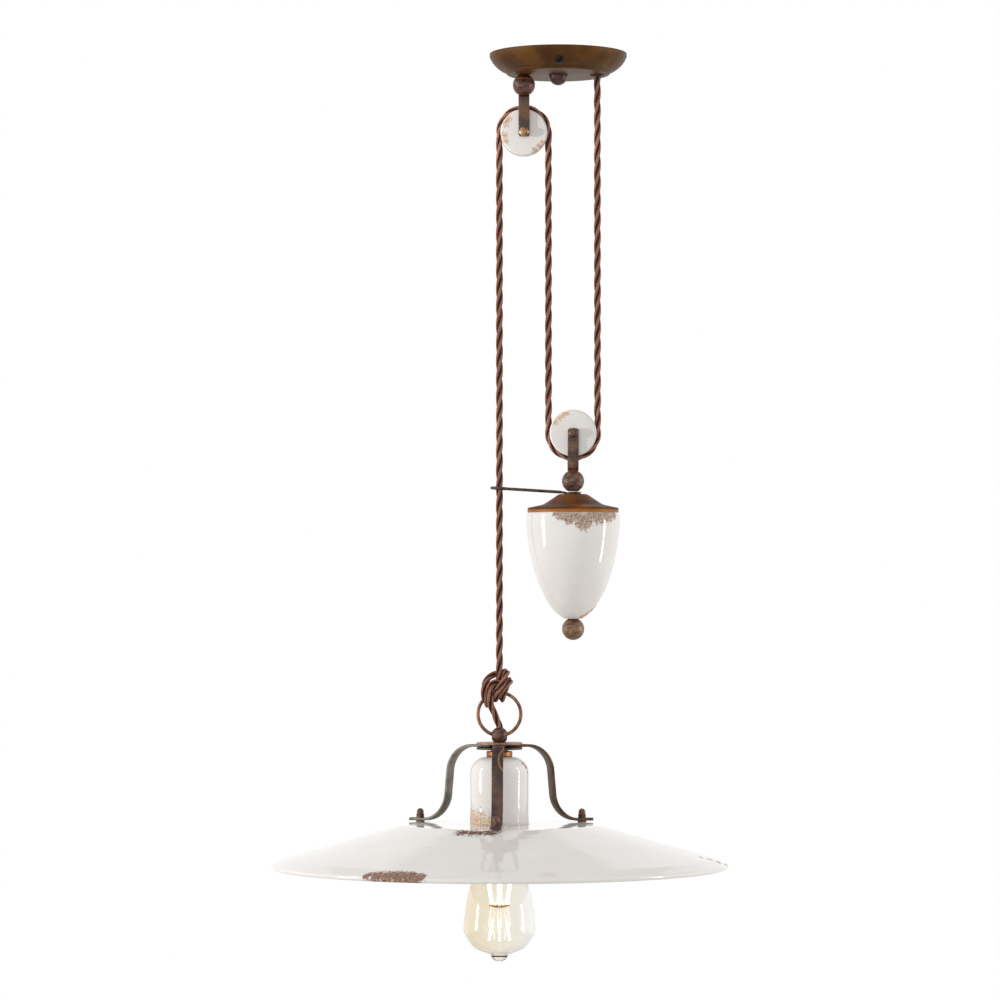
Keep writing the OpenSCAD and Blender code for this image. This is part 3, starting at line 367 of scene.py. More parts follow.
def turned(profile: Array, x: float, z: float = 0.0, level: bool = False, steps: int = 96) -> Surface:
    """A profile of (radius r, height h) turned about an axis through (x, 0, z).

    Upright: P(i, t) = (x + r_i cos t, r_i sin t, z + h_i).
    Level, about +Y: P(i, t) = (x + r_i cos t, h_i, z + r_i sin t).

    Args:
        profile: Points, (n, 2). It starts and ends on the axis, or is a closed loop off it.
        x: The axis's x.
        z: Height added to the profile, or the level axis's height.
        level: Whether the axis lies along Y.
        steps: Steps round.

    Returns:
        The surface.
    """
    r, h = profile[:, :1], profile[:, 1:]
    t = np.linspace(0, 2 * math.pi, steps, endpoint=False)[None, :]
    flat = np.broadcast_to(h, (len(profile), steps))
    if level:
        points = np.stack([x + r * np.cos(t), flat, z + r * np.sin(t)], -1)
    else:
        points = np.stack([x + r * np.cos(t), r * np.sin(t), z + flat], -1)
    return Surface(points, loop=bool(profile[:, 0].min() > 1e-6))


@dataclass(frozen=True)
class Plane:
    """A plane in space: P(a, b) = origin + a across + b up."""

    origin: tuple[float, float, float]
    across: tuple[float, float, float]
    up: tuple[float, float, float] = (0.0, 0.0, 1.0)

    def lift(self, points: Array) -> Array:
        """Points of the plane in space, (n, 3)."""
        return np.array(self.origin) + points[:, :1] * np.array(self.across) + points[:, 1:2] * np.array(self.up)

    @property
    def normal(self) -> Array:
        """Unit normal, across x up."""
        return np.cross(self.across, self.up)


def carried(path: Array, side: Array, section: Array, ends: bool = True) -> Surface:
    """A section carried along a path: P(i, j) = path_i + s_ij U_i + q_ij V_i.

    V_i is the side direction and U_i = V_i x T_i, where T_i is the path's tangent.

    Args:
        path: Points, (n, 3).
        side: One direction across the path, or one for each point.
        section: (n or 1, m, 2) distances along U and V.
        ends: Whether each end is closed with a flat face.

    Returns:
        The surface.
    """
    tangent = directions(path)
    v = np.broadcast_to(side, tangent.shape)
    u = np.cross(v, tangent)
    section = np.broadcast_to(section, (len(path),) + section.shape[1:])
    points = path[:, None] + section[..., :1] * u[:, None] + section[..., 1:] * v[:, None]
    if ends:
        first = np.broadcast_to(path[:1, None], points[:1].shape)
        last = np.broadcast_to(path[-1:, None], points[-1:].shape)
        points = np.concatenate([first, points, last])
    return Surface(points, loop=False)


def strap(line: Array, plane: Plane, width: float, thickness: float, corner: float, step: float = 0.8) -> Surface:
    """A flat strap bent along a line in a plane, its ends rounded in plan.

    Its half width at a distance d < c from an end is w - c + sqrt(c^2 - (c - d)^2), with c the corner's
    radius, and its section is a rounded rectangle.

    Args:
        line: Middle line in the plane, (n, 2).
        plane: The plane.
        width: Width across the plane.
        thickness: Thickness in the plane.
        corner: Radius of the ends' corners in plan.
        step: Distance between stations.

    Returns:
        The surface.
    """
    total = length_of(line)
    near = corner * (1 - np.cos(np.radians(np.linspace(0, 90, 9))))
    stations = np.unique(np.round(np.concatenate([near, total - near,
                                                  np.arange(corner, total - corner, step)]), 6))
    path = plane.lift(along(line, stations))
    d = np.minimum(np.minimum(stations, total - stations), corner)
    half = width / 2 - corner + np.sqrt(np.maximum(corner**2 - (corner - d) ** 2, 0))
    edge = min(0.45, thickness * 0.35)
    turn = np.radians(np.linspace(0, 90, 4))
    t = np.concatenate([turn + q * math.pi / 2 for q in range(4)])
    sign_u = np.repeat([1, -1, -1, 1], 4)
    sign_v = np.repeat([1, 1, -1, -1], 4)
    u = np.broadcast_to(sign_u * (thickness / 2 - edge) + edge * np.cos(t), (len(path), 16))
    v = sign_v[None] * (half[:, None] - edge) + edge * np.sin(t)[None]
    return carried(path, plane.normal, np.stack([u, v], -1))


def rod(path: Array, side: Array, radius: float | Array, sides: int = 24) -> Surface:
    """A round rod along a path: section r_i (cos t, sin t)."""
    t = np.linspace(0, 2 * math.pi, sides, endpoint=False)
    ring = np.stack([np.cos(t), np.sin(t)], -1)[None]
    return carried(path, side, ring * np.reshape(radius, (-1, 1, 1)))


def least_turning(path: Array, first: Array) -> Array:
    """Side directions along a path that turn about it as little as they can.

    Each is the one before with its share along the new tangent taken out.

    Args:
        path: Points, (n, 3).
        first: The first side direction.

    Returns:
        Unit directions, (n, 3).
    """
    tangent = directions(path)
    sides = [np.asarray(first, float)]
    for t in tangent[1:]:
        step = sides[-1] - sides[-1].dot(t) * t
        sides.append(step / np.linalg.norm(step))
    return np.array(sides)


# ---- Materials ----


def linear(code: str) -> tuple[float, float, float, float]:
    """Linear light values of an sRGB hex colour: ((c + 0.055) / 1.055)^2.4, or c / 12.92 when dark."""
    c = np.array([int(code[i : i + 2], 16) for i in (1, 3, 5)]) / 255
    value = np.where(c <= 0.04045, c / 12.92, ((c + 0.055) / 1.055) ** 2.4)
    return (float(value[0]), float(value[1]), float(value[2]), 1.0)


def add(tree: Tree, kind: str, inputs: dict[Any, Any] | None = None, **settings: Any) -> bpy.types.Node:
    """Add one shader node with its settings and links.

    Args:
        tree: The node tree.
        kind: The node's type without its ShaderNode prefix.
        inputs: For each input's name or number: a hex colour, a plain value or an output to link.
        settings: Attributes of the node; stops=[(place, hex), ...] fills a colour ramp.

    Returns:
        The node.
    """
    node = tree.nodes.new("ShaderNode" + kind)
    for key, value in settings.items():
        if key == "stops":
            ramp = node.color_ramp
            while len(ramp.elements) < len(value):
                ramp.elements.new(0.5)
            for element, (place, code) in zip(ramp.elements, value):
                element.position, element.color = place, linear(code) if isinstance(code, str) else code
        else:
            setattr(node, key, value)
    feed(tree, node, inputs or {})
    return node


def feed(tree: Tree, node: bpy.types.Node, inputs: dict[Any, Any]) -> None:
    """Fill a node's inputs, by name or number.

    Args:
        tree: The node tree.
        node: The node.
        inputs: For each input: a hex colour, a plain value or an output to link.
    """
    for key, value in inputs.items():
        socket = node.inputs[key]
        if isinstance(value, Socket):
            tree.links.new(value, socket)
        elif isinstance(value, str):
            socket.default_value = linear(value)
        else:
            socket.default_value = value


def maths(tree: Tree, operation: str, *values: float | Socket) -> Socket:
    """The result of one arithmetic node."""
    return add(tree, "Math", dict(enumerate(values)), operation=operation).outputs[0]


def blend(tree: Tree, share: float | Socket, first: Any, second: Any) -> Socket:
    """Two colours mixed: first (1 - share) + second share."""
    return add(tree, "Mix", {0: share, 6: first, 7: second}, data_type="RGBA").outputs[2]


def ranged(tree: Tree, value: Socket, source: tuple[float, float] = (0.0, 1.0),
           to: tuple[float, float] = (0.0, 1.0)) -> Socket:
    """A value carried evenly from one range to another, and held at its ends."""
    return add(tree, "MapRange", {"Value": value, "From Min": source[0], "From Max": source[1],
                                  "To Min": to[0], "To Max": to[1]}).outputs["Result"]


def noise(tree: Tree, at: Socket, size: float, detail: float, roughness: float = 0.5) -> Socket:
    """Cloudy noise from 0 to 1, whose largest features are about size millimetres."""
    return add(tree, "TexNoise", {"Vector": at, "Scale": cells(size), "Detail": detail,
                                  "Roughness": roughness}).outputs["Fac"]


def bumped(tree: Tree, height: Socket, strength: float, depth: float) -> Socket:
    """Normals for a height that spans depth metres."""
    return add(tree, "Bump", {"Height": height, "Strength": strength, "Distance": depth}).outputs["Normal"]


def begin(name: str) -> tuple[bpy.types.Material, Tree, bpy.types.Node, Socket]:
    """A new material with an empty tree but for its shader and output, and the object's own coordinates."""
    material = bpy.data.materials.new(name)
    material.use_nodes = True
    tree = material.node_tree
    tree.nodes.clear()
    shader = add(tree, "BsdfPrincipled")
    add(tree, "OutputMaterial", {"Surface": shader.outputs["BSDF"]})
    return material, tree, shader, add(tree, "TexCoord").outputs["Object"]


def cells(size: float) -> float:
    """Texture scale, in cells a metre, whose features are about that many millimetres."""
    return 1000.0 / size


@dataclass(frozen=True)
class Flake:
    """A ragged patch of flaked-off glaze: spots (x, y, z, radius) in millimetres that run together.

    The bare clay shows in its deep and pale colours with a grain of about 1 mm, and the glaze breaks off pale
    at the edge, in teeth of about 3 mm.
    """

    spots: tuple[tuple[float, float, float, float], ...]
    deep: str = "#4A3630"
    pale: str = "#A58F82"
    edge: str = "#D8C2B2"
    grain: float = 1.1
    ragged: float = 1.8
    tooth: float = 3.2


@dataclass(frozen=True)
class GlazedPorcelain:
    """Slip-cast white porcelain under a clear glaze: a warm white with sharp, slightly rippled reflections.

    The ripple comes from uneven glaze some 22 mm across, the pinholes and specks are iron in the clay.
    """

    white: str = "#DFDBD7"
    shadow: str = "#D5D0CB"
    speck: str = "#8B6F5E"
    roughness: float = 0.07
    ripple: float = 0.00025

    def material(self, name: str, flakes: tuple[Flake, ...] = ()) -> bpy.types.Material:
        """The glaze, with its flaked patches.

        Args:
            name: The material's name.
            flakes: Where the body shows through.

        Returns:
            The material.
        """
        material, tree, shader, at = begin(name)
        cloud = noise(tree, at, 34, 3.0)
        base = blend(tree, cloud, self.white, self.shadow)
        dots = add(tree, "TexVoronoi", {"Vector": at, "Scale": cells(19)}, feature="F1")
        dot = ranged(tree, dots.outputs["Distance"], (0.012, 0.026), (0.6, 0.0))
        colour = blend(tree, dot, base, self.speck)
        out, normal = colour, bumped(tree, noise(tree, at, 22, 1.0), 1.0, self.ripple)
        mask: Socket | None = None
        for flake in flakes:
            out, one = self.flaked(tree, at, out, flake)
            mask = one if mask is None else maths(tree, "MAXIMUM", mask, one)
        rough: float | Socket = self.roughness
        if mask is not None:
            rough = ranged(tree, mask, to=(self.roughness, 0.85))
            normal = add(tree, "Bump", {"Height": mask, "Strength": 0.9, "Distance": 0.0004, "Normal": normal},
                         invert=True).outputs["Normal"]
        feed(tree, shader, {"Base Color": out, "Roughness": rough, "Normal": normal, "IOR": 1.52})
        return material

    def flaked(self, tree: Tree, at: Socket, base: Socket, flake: Flake) -> tuple[Socket, Socket]:
        """Lay one flaked patch over a colour: it is where min(distance / radius) + ragged (noise - 1/2) < 1.

        Args:
            tree: The node tree.
            at: Object coordinates.
            base: The colour under it.
            flake: The patch.

        Returns:
            Colour and mask outputs.
        """
        near: Socket | None = None
        for x, y, z, radius in flake.spots:
            gap = add(tree, "VectorMath", {0: at, 1: (x * MM, y * MM, z * MM)}, operation="DISTANCE")
            one = maths(tree, "DIVIDE", gap.outputs["Value"], radius * MM)
            near = one if near is None else maths(tree, "MINIMUM", near, one)
        teeth = noise(tree, at, flake.tooth, 5.0, 0.7)
        torn = maths(tree, "MULTIPLY_ADD", teeth, flake.ragged, near)
        end = 1 + flake.ragged / 2
        mask = ranged(tree, torn, (end - 0.04, end + 0.04), (1.0, 0.0))
        grain = noise(tree, at, flake.grain, 3.0, 0.7)
        tone = ranged(tree, grain, (0.38, 0.56))
        body = blend(tree, tone, flake.deep, flake.pale)
        outer = ranged(tree, torn, (end - 0.3, end - 0.05), (0.0, 0.7))
        clay = blend(tree, outer, body, flake.edge)
        return blend(tree, mask, base, clay), mask


@dataclass(frozen=True)
class WaxedRust:
    """Old mild steel, rusted and waxed: brown and purplish patches with orange blooms, and a satin shine."""

    dark: str = "#3E2F2B"
    middle: str = "#6A4A3E"
    bloom: str = "#A8632F"
    patch: float = 7.0
    bloom_share: float = 0.36
    metallic: float = 0.35
    roughness: float = 0.38
    line_z: tuple[float, ...] = ()
    line_width: float = 0.9
    grain: float = 1.0
    crescent: tuple[float, float, float] | None = None

    def material(self, name: str) -> bpy.types.Material:
        """The rust, drawn out level by grain, with orange lines at the heights in line_z and a curved one.

        Args:
            name: The material's name.

        Returns:
            The material.
        """
        material, tree, shader, place = begin(name)
        at = add(tree, "Mapping", {"Vector": place, "Scale": (1.0, 1.0, self.grain)}).outputs["Vector"]
        large = noise(tree, at, self.patch, 4.0, 0.6)
        base = blend(tree, ranged(tree, large, (0.38, 0.62)), self.dark, self.middle)
        fine = noise(tree, at, self.patch / 3, 6.0, 0.7)
        mask = ranged(tree, fine, (0.66 - self.bloom_share / 4, 0.78 - self.bloom_share / 4))
        if self.line_z:
            up = add(tree, "SeparateXYZ", {0: place})
            wander = maths(tree, "MULTIPLY_ADD", fine, 0.0022, up.outputs["Z"])
            for z in self.line_z:
                away = maths(tree, "ABSOLUTE", maths(tree, "SUBTRACT", wander, (z + 1.1) * MM))
                line = ranged(tree, away, (self.line_width * MM * 0.4, self.line_width * MM), (1.0, 0.0))
                mask = maths(tree, "MAXIMUM", mask, line)
        if self.crescent is not None:
            x, z, radius = self.crescent
            flat = add(tree, "VectorMath", {0: place, 1: (1.0, 0.0, 1.0)}, operation="MULTIPLY").outputs[0]
            gap = add(tree, "VectorMath", {0: flat, 1: (x * MM, 0.0, z * MM)}, operation="DISTANCE")
            away = maths(tree, "ABSOLUTE", maths(tree, "SUBTRACT", gap.outputs["Value"], radius * MM))
            line = ranged(tree, away, (0.0004, 0.0012), (0.9, 0.0))
            mask = maths(tree, "MAXIMUM", mask, line)
        feed(tree, shader, {
            "Base Color": blend(tree, mask, base, self.bloom),
            "Roughness": ranged(tree, fine, to=(self.roughness - 0.12, self.roughness + 0.16)),
            "Normal": bumped(tree, noise(tree, at, 0.9, 3.0), 0.35, 0.00025),
            "Metallic": self.metallic,
        })
        return material


@dataclass(frozen=True)
class BronzedSteel:
    """Pressed steel with an old bronze lacquer: olive-brown, cloudy, with a soft broad shine."""

    dark: str = "#432707"
    middle: str = "#53320B"
    light: str = "#684413"
    metallic: float = 0.15
    roughness: float = 0.46
    rim_z: float | None = None
    rim: str = "#A8692A"

    def material(self, name: str) -> bpy.types.Material:
        """The lacquer, worn to its rim colour below rim_z where that is given."""
        material, tree, shader, at = begin(name)
        cloud = noise(tree, at, 26, 5.0, 0.55)
        stops = [(0.32, self.dark), (0.5, self.middle), (0.68, self.light)]
        colour = add(tree, "ValToRGB", {"Fac": cloud}, stops=stops).outputs["Color"]
        if self.rim_z is not None:
            up = add(tree, "SeparateXYZ", {0: at}).outputs["Z"]
            low = ranged(tree, up, (self.rim_z * MM, (self.rim_z + 1.6) * MM), (0.85, 0.0))
            colour = blend(tree, low, colour, self.rim)
        fine = noise(tree, at, 2.4, 5.0)
        feed(tree, shader, {
            "Base Color": colour,
            "Roughness": ranged(tree, fine, to=(self.roughness - 0.1, self.roughness + 0.14)),
            "Normal": bumped(tree, fine, 0.25, 0.0002),
            "Metallic": self.metallic, "Specular IOR Level": 0.18,
        })
        return material


@dataclass(frozen=True)
class BareMetal:
    """Plain machined or plated metal: one colour with fine turning marks that break the shine."""

    colour: str = "#C9CACB"
    stain: str = "#8E8A84"
    roughness: float = 0.28
    metallic: float = 1.0

    def material(self, name: str) -> bpy.types.Material:
        """The metal, a little stained in patches of about 5 mm."""
        material, tree, shader, at = begin(name)
        cloud = noise(tree, at, 5, 5.0)
        feed(tree, shader, {
            "Base Color": blend(tree, ranged(tree, cloud, (0.45, 0.75)), self.colour, self.stain),
            "Roughness": ranged(tree, cloud, to=(self.roughness - 0.08, self.roughness + 0.14)),
            "Normal": bumped(tree, noise(tree, at, 0.6, 2.0), 0.2, 0.0001),
            "Metallic": self.metallic,
        })
        return material


@dataclass(frozen=True)
class Moulded:
    """A non-metal body in one colour, such as rubber, porcelain left unglazed, or vulcanised fibre."""

    colour: str
    shade: str
    roughness: float = 0.5
    grain: float = 0.8
    depth: float = 0.00005

    def material(self, name: str) -> bpy.types.Material:
        """The body, with a fine grain of the given size in millimetres."""
        material, tree, shader, at = begin(name)
        feed(tree, shader, {
            "Base Color": blend(tree, noise(tree, at, self.grain * 8, 4.0), self.colour, self.shade),
            "Normal": bumped(tree, noise(tree, at, self.grain, 3.0), 0.4, self.depth),
            "Roughness": self.roughness,
        })
        return material


@dataclass(frozen=True)
class BraidedCotton:
    """Cotton braid over each of the cord's three cores: dark brown with a few red threads, with painted highlights
    on the crowns of its threads and painted shade in the grooves between the cores.

    Its pattern follows the cord: u counts cores round it and v runs along it in millimetres. The real threads
    are about 0.4 mm apart and are drawn at 1.1 mm, so that they show.
    """

    # groove is the darkest colour, painted shade where the cores meet.
    groove: str = "#120806"
    dark: str = "#321C16"
    middle: str = "#643C2E"
    crown_highlight: str = "#A07460"
    red: str = "#D0202C"
    thread: float = 1.15

    def material(self, name: str) -> bpy.types.Material:
        """The braid, with its painted highlights and painted shade."""
        material, tree, shader, at = begin(name)
        parts = add(tree, "SeparateXYZ", {0: add(tree, "UVMap").outputs["UV"]})
        u, v = parts.outputs["X"], parts.outputs["Y"]
        weave = []
        for way in (3.0, -3.0):
            slope = maths(tree, "MULTIPLY", u, way)
            phase = maths(tree, "MULTIPLY_ADD", v, 1 / self.thread, slope)
            weave.append(maths(tree, "SINE", maths(tree, "MULTIPLY", phase, 2 * math.pi)))
        height = ranged(tree, maths(tree, "MAXIMUM", *weave), (-1.0, 1.0))
        away = maths(tree, "ABSOLUTE", maths(tree, "SUBTRACT", maths(tree, "FRACT", u), 0.5))
        # Painted shade: each core darkens towards the grooves beside it.
        groove = ranged(tree, away, (0.18, 0.46), (1.0, 0.0))
        fuzz = noise(tree, at, 1.3, 3.0)
        tone = maths(tree, "MULTIPLY_ADD", groove, 0.62, -0.3)
        # Painted highlight: the raised threads are drawn lighter, up to the crown colour.
        lit = maths(tree, "MULTIPLY_ADD", height, 0.35, tone)
        mixed = maths(tree, "MULTIPLY_ADD", fuzz, 0.5, lit)
        stops = [(0.12, self.groove), (0.34, self.dark), (0.62, self.middle), (0.92, self.crown_highlight)]
        base = add(tree, "ValToRGB", {"Fac": mixed}, stops=stops).outputs["Color"]
        fleck = ranged(tree, noise(tree, at, 2.6, 2.0), (0.67, 0.71), (0.0, 0.9))
        feed(tree, shader, {
            "Base Color": blend(tree, fleck, base, self.red),
            "Normal": bumped(tree, height, 0.7, 0.0003),
            "Roughness": 0.85, "Specular IOR Level": 0.25,
        })
        return material


@dataclass(frozen=True)
class BlownGlass:
    """Thin blown glass tinted amber towards -X and nearly clear towards +X, clear and sharp in reflection."""

    amber: str = "#F7EFDD"
    clear: str = "#F9F8F5"
    middle_x: float = -54.0
    spread: float = 30.0

    def material(self, name: str) -> bpy.types.Material:
        """The glass, amber on the left and nearly clear on the right."""
        material, tree, shader, at = begin(name)
        across = add(tree, "SeparateXYZ", {0: at}).outputs["X"]
        left, right = (self.middle_x + way * self.spread for way in (-1, 1))
        part = ranged(tree, across, (left * MM, right * MM))
        colour = blend(tree, part, self.amber, self.clear)
        feed(tree, shader, {"Base Color": colour, "Transmission Weight": 1.0, "Roughness": 0.02, "IOR": 1.46})
        return material


@dataclass(frozen=True)
class Glow:
    """The filament's coated bars, lit: warm white light."""

    colour: str = "#FFF2D8"
    strength: float = 4.0
    joint_z: float = -788.0

    def material(self, name: str) -> bpy.types.Material:
        """The glowing coat, a little uneven along each bar and dimmer about joint_z, where the bars meet."""
        material, tree, shader, at = begin(name)
        up = add(tree, "SeparateXYZ", {0: at}).outputs["Z"]
        away = maths(tree, "ABSOLUTE", maths(tree, "SUBTRACT", up, self.joint_z * MM))
        power = ranged(tree, away, (5.0 * MM, 9.0 * MM), (0.45, self.strength))
        colour = blend(tree, noise(tree, at, 1.5, 2.0), self.colour, "#FFFFFF")
        feed(tree, shader, {"Base Color": colour, "Emission Color": colour, "Emission Strength": power})
        return material


# ---- Putting pieces in the scene ----


def fit(obj: bpy.types.Object, body: Body, slot: str, material: bpy.types.Material,
        *nodes: str) -> bpy.types.Object:
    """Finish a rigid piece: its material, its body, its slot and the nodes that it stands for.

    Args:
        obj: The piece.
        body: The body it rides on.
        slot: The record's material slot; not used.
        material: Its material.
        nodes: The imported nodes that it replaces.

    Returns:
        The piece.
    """
    obj.data.materials.clear()
    obj.data.materials.append(material)
    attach(obj, body.value)
    if nodes:
        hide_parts(*nodes)
    log.info("%s: %d faces, on %s", obj.name, len(obj.data.polygons), body.value)
    return obj


def fit_small(body: Body, *rows: tuple[str, str, float, str, bpy.types.Material]) -> None:
    """Finish softened copies of small solids: rows of node, name, width of rounding, slot and material."""
    for node, name, width, slot, material in rows:
        fit(softened(node, name, width), body, slot, material)


@dataclass
class Studio:
    """The camera at the photograph's place, a white surround, soft lights and a pale floor."""

    camera_at: tuple[float, float, float] = (-0.0535, -3.533, -0.500)
    tilt: float = 1.455
    lens: float = 138.74
    floor_z: float = -3.1
    around: tuple[float, ...] = (1.4, 0.5, 0.3, 1.2, 1.35, 1.0, 1.15, 1.0, 1.1, 0.8, 0.8, 1.5)
    above: float = 0.97
    below: float = 0.15
    card: float = 0.3
    card_z: float = 0.5
    spot_reach: float = 1.2
    spot_side: float = 72.0
    spot_angle: float = 3.4

    def camera(self) -> None:
        """The camera, level with the lamp's middle and tilted up a little."""
        data = bpy.data.cameras.new("Camera")
        data.lens, data.sensor_width = self.lens, 36.0
        camera = placed("Camera", data)
        camera.location = self.camera_at
        camera.rotation_euler = (math.radians(90 + self.tilt), 0.0, 0.0)
        bpy.context.scene.camera = camera

    def world(self) -> None:
        """White where the camera looks past the object; as light, a room bright ahead, above and behind.

        Its brightness in the direction (x, y, z) is a + (m - a) clamp((0.75 - z) / 0.5) above the horizon,
        and likewise with b below it, where m is read from the values of around at the angle atan2(x, -y).
        Behind the object a grey card takes the share card of it away above z = card_z. Rays through glass see
        the room cut off at white.
        """
        world = bpy.data.worlds.new("Studio")
        world.use_nodes = True
        tree = world.node_tree
        tree.nodes.clear()
        parts = add(tree, "SeparateXYZ", {0: add(tree, "TexCoord").outputs["Generated"]})
        front = maths(tree, "MULTIPLY", parts.outputs["Y"], -1.0)
        angle = maths(tree, "ARCTAN2", parts.outputs["X"], front)
        turn = maths(tree, "FRACT", maths(tree, "MULTIPLY_ADD", angle, 1 / (2 * math.pi), 1.0))
        top = max(*self.around, self.above, self.below)
        stops = [(k / len(self.around), (v / top, v / top, v / top, 1.0))
                 for k, v in enumerate(self.around + self.around[:1])]
        level = add(tree, "ValToRGB", {"Fac": turn}, stops=stops).outputs["Color"]
        for value, sign in ((self.above, 1.0), (self.below, -1.0)):
            weight = ranged(tree, maths(tree, "MULTIPLY", parts.outputs["Z"], sign), (0.25, 0.75))
            level = blend(tree, weight, level, (value / top,) * 3 + (1.0,))
        behind = maths(tree, "GREATER_THAN", parts.outputs["Y"], 0.0)
        soft = 0.006
        high = ranged(tree, parts.outputs["Z"], (self.card_z - soft, self.card_z + soft), (0.0, self.card))
        level = blend(tree, maths(tree, "MULTIPLY", behind, high), level, (0.0, 0.0, 0.0, 1.0))
        ray = add(tree, "LightPath")
        limit = maths(tree, "MINIMUM", level, 1 / top)
        light, glass, seen = (
            add(tree, "Background", {"Color": colour, "Strength": strength}).outputs[0]
            for colour, strength in ((level, top), (limit, top), ("#FFFFFF", 1.0)))
        mixed = add(tree, "MixShader", {0: ray.outputs["Is Transmission Ray"], 1: light, 2: glass})
        mixed = add(tree, "MixShader", {0: ray.outputs["Is Camera Ray"], 1: mixed.outputs[0], 2: seen})
        add(tree, "OutputWorld", {"Surface": mixed.outputs[0]})
        bpy.context.scene.world = world
        bpy.context.scene.view_settings.view_transform = "Standard"

    def light(self, name: str, at: tuple[float, float, float], size: tuple[float, float], power: float,
              aim: tuple[float, float, float] = (-0.04, 0.0, -0.5)) -> None:
        """A soft rectangular light.

        Args:
            name: Its name.
            at: Its place in metres.
            size: Its width and height in metres.
            power: Its power in watts.
            aim: The point that it faces.
        """
        data = bpy.data.lights.new(name, "AREA")
        data.shape = "RECTANGLE"
        data.size, data.size_y = size
        data.energy = power
        obj = placed(name, data)
        way = np.array(aim) - np.array(at)
        flat = math.hypot(way[0], way[1])
        obj.location = at
        obj.rotation_euler = (math.atan2(flat, -way[2]), 0.0, math.atan2(-way[0], way[1]))

    def spot(self, name: str, aim: tuple[float, float, float], power: float) -> None:
        """A narrow lamp at spot_side degrees left of the front, which throws a fork's shadow over its wheel.

        Args:
            name: Its name.
            aim: The middle of the wheel in metres.
            power: Its power in watts.
        """
        data = bpy.data.lights.new(name, "SPOT")
        data.energy, data.spot_size, data.spot_blend = power, math.radians(self.spot_angle), 0.5
        data.shadow_soft_size = 0.01
        obj = placed(name, data)
        side, reach = math.radians(self.spot_side), self.spot_reach
        obj.location = (aim[0] - reach * math.sin(side), aim[1] - reach * math.cos(side), aim[2])
        obj.rotation_euler = (math.pi / 2, 0.0, -side)

    def build(self) -> None:
        """Camera, surround, lights and floor."""
        self.camera()
        self.world()
        self.light("left", (-2.2, -0.4, -0.25), (0.3, 1.5), 21)
        self.light("right", (2.2, -0.3, -0.3), (0.2, 1.9), 16)
        self.spot("upper_wheel_light", (-0.031, 0.0, -0.075), power=60.0)
        self.spot("lower_wheel_light", (0.0135, 0.0, -0.348), power=40.0)
        floor = bpy.data.meshes.new("floor")
        half = 3.3
        corners = [(x * half, y * half, self.floor_z) for x, y in ((-1, -1), (1, -1), (1, 1), (-1, 1))]
        floor.from_pydata(corners, [], [(0, 1, 2, 3)])
        obj = placed("floor", floor)
        floor.materials.append(Moulded("#ECEBE9", "#E4E3E1", 0.7, 20.0).material("Pale painted board floor"))
        log.info("studio ready")


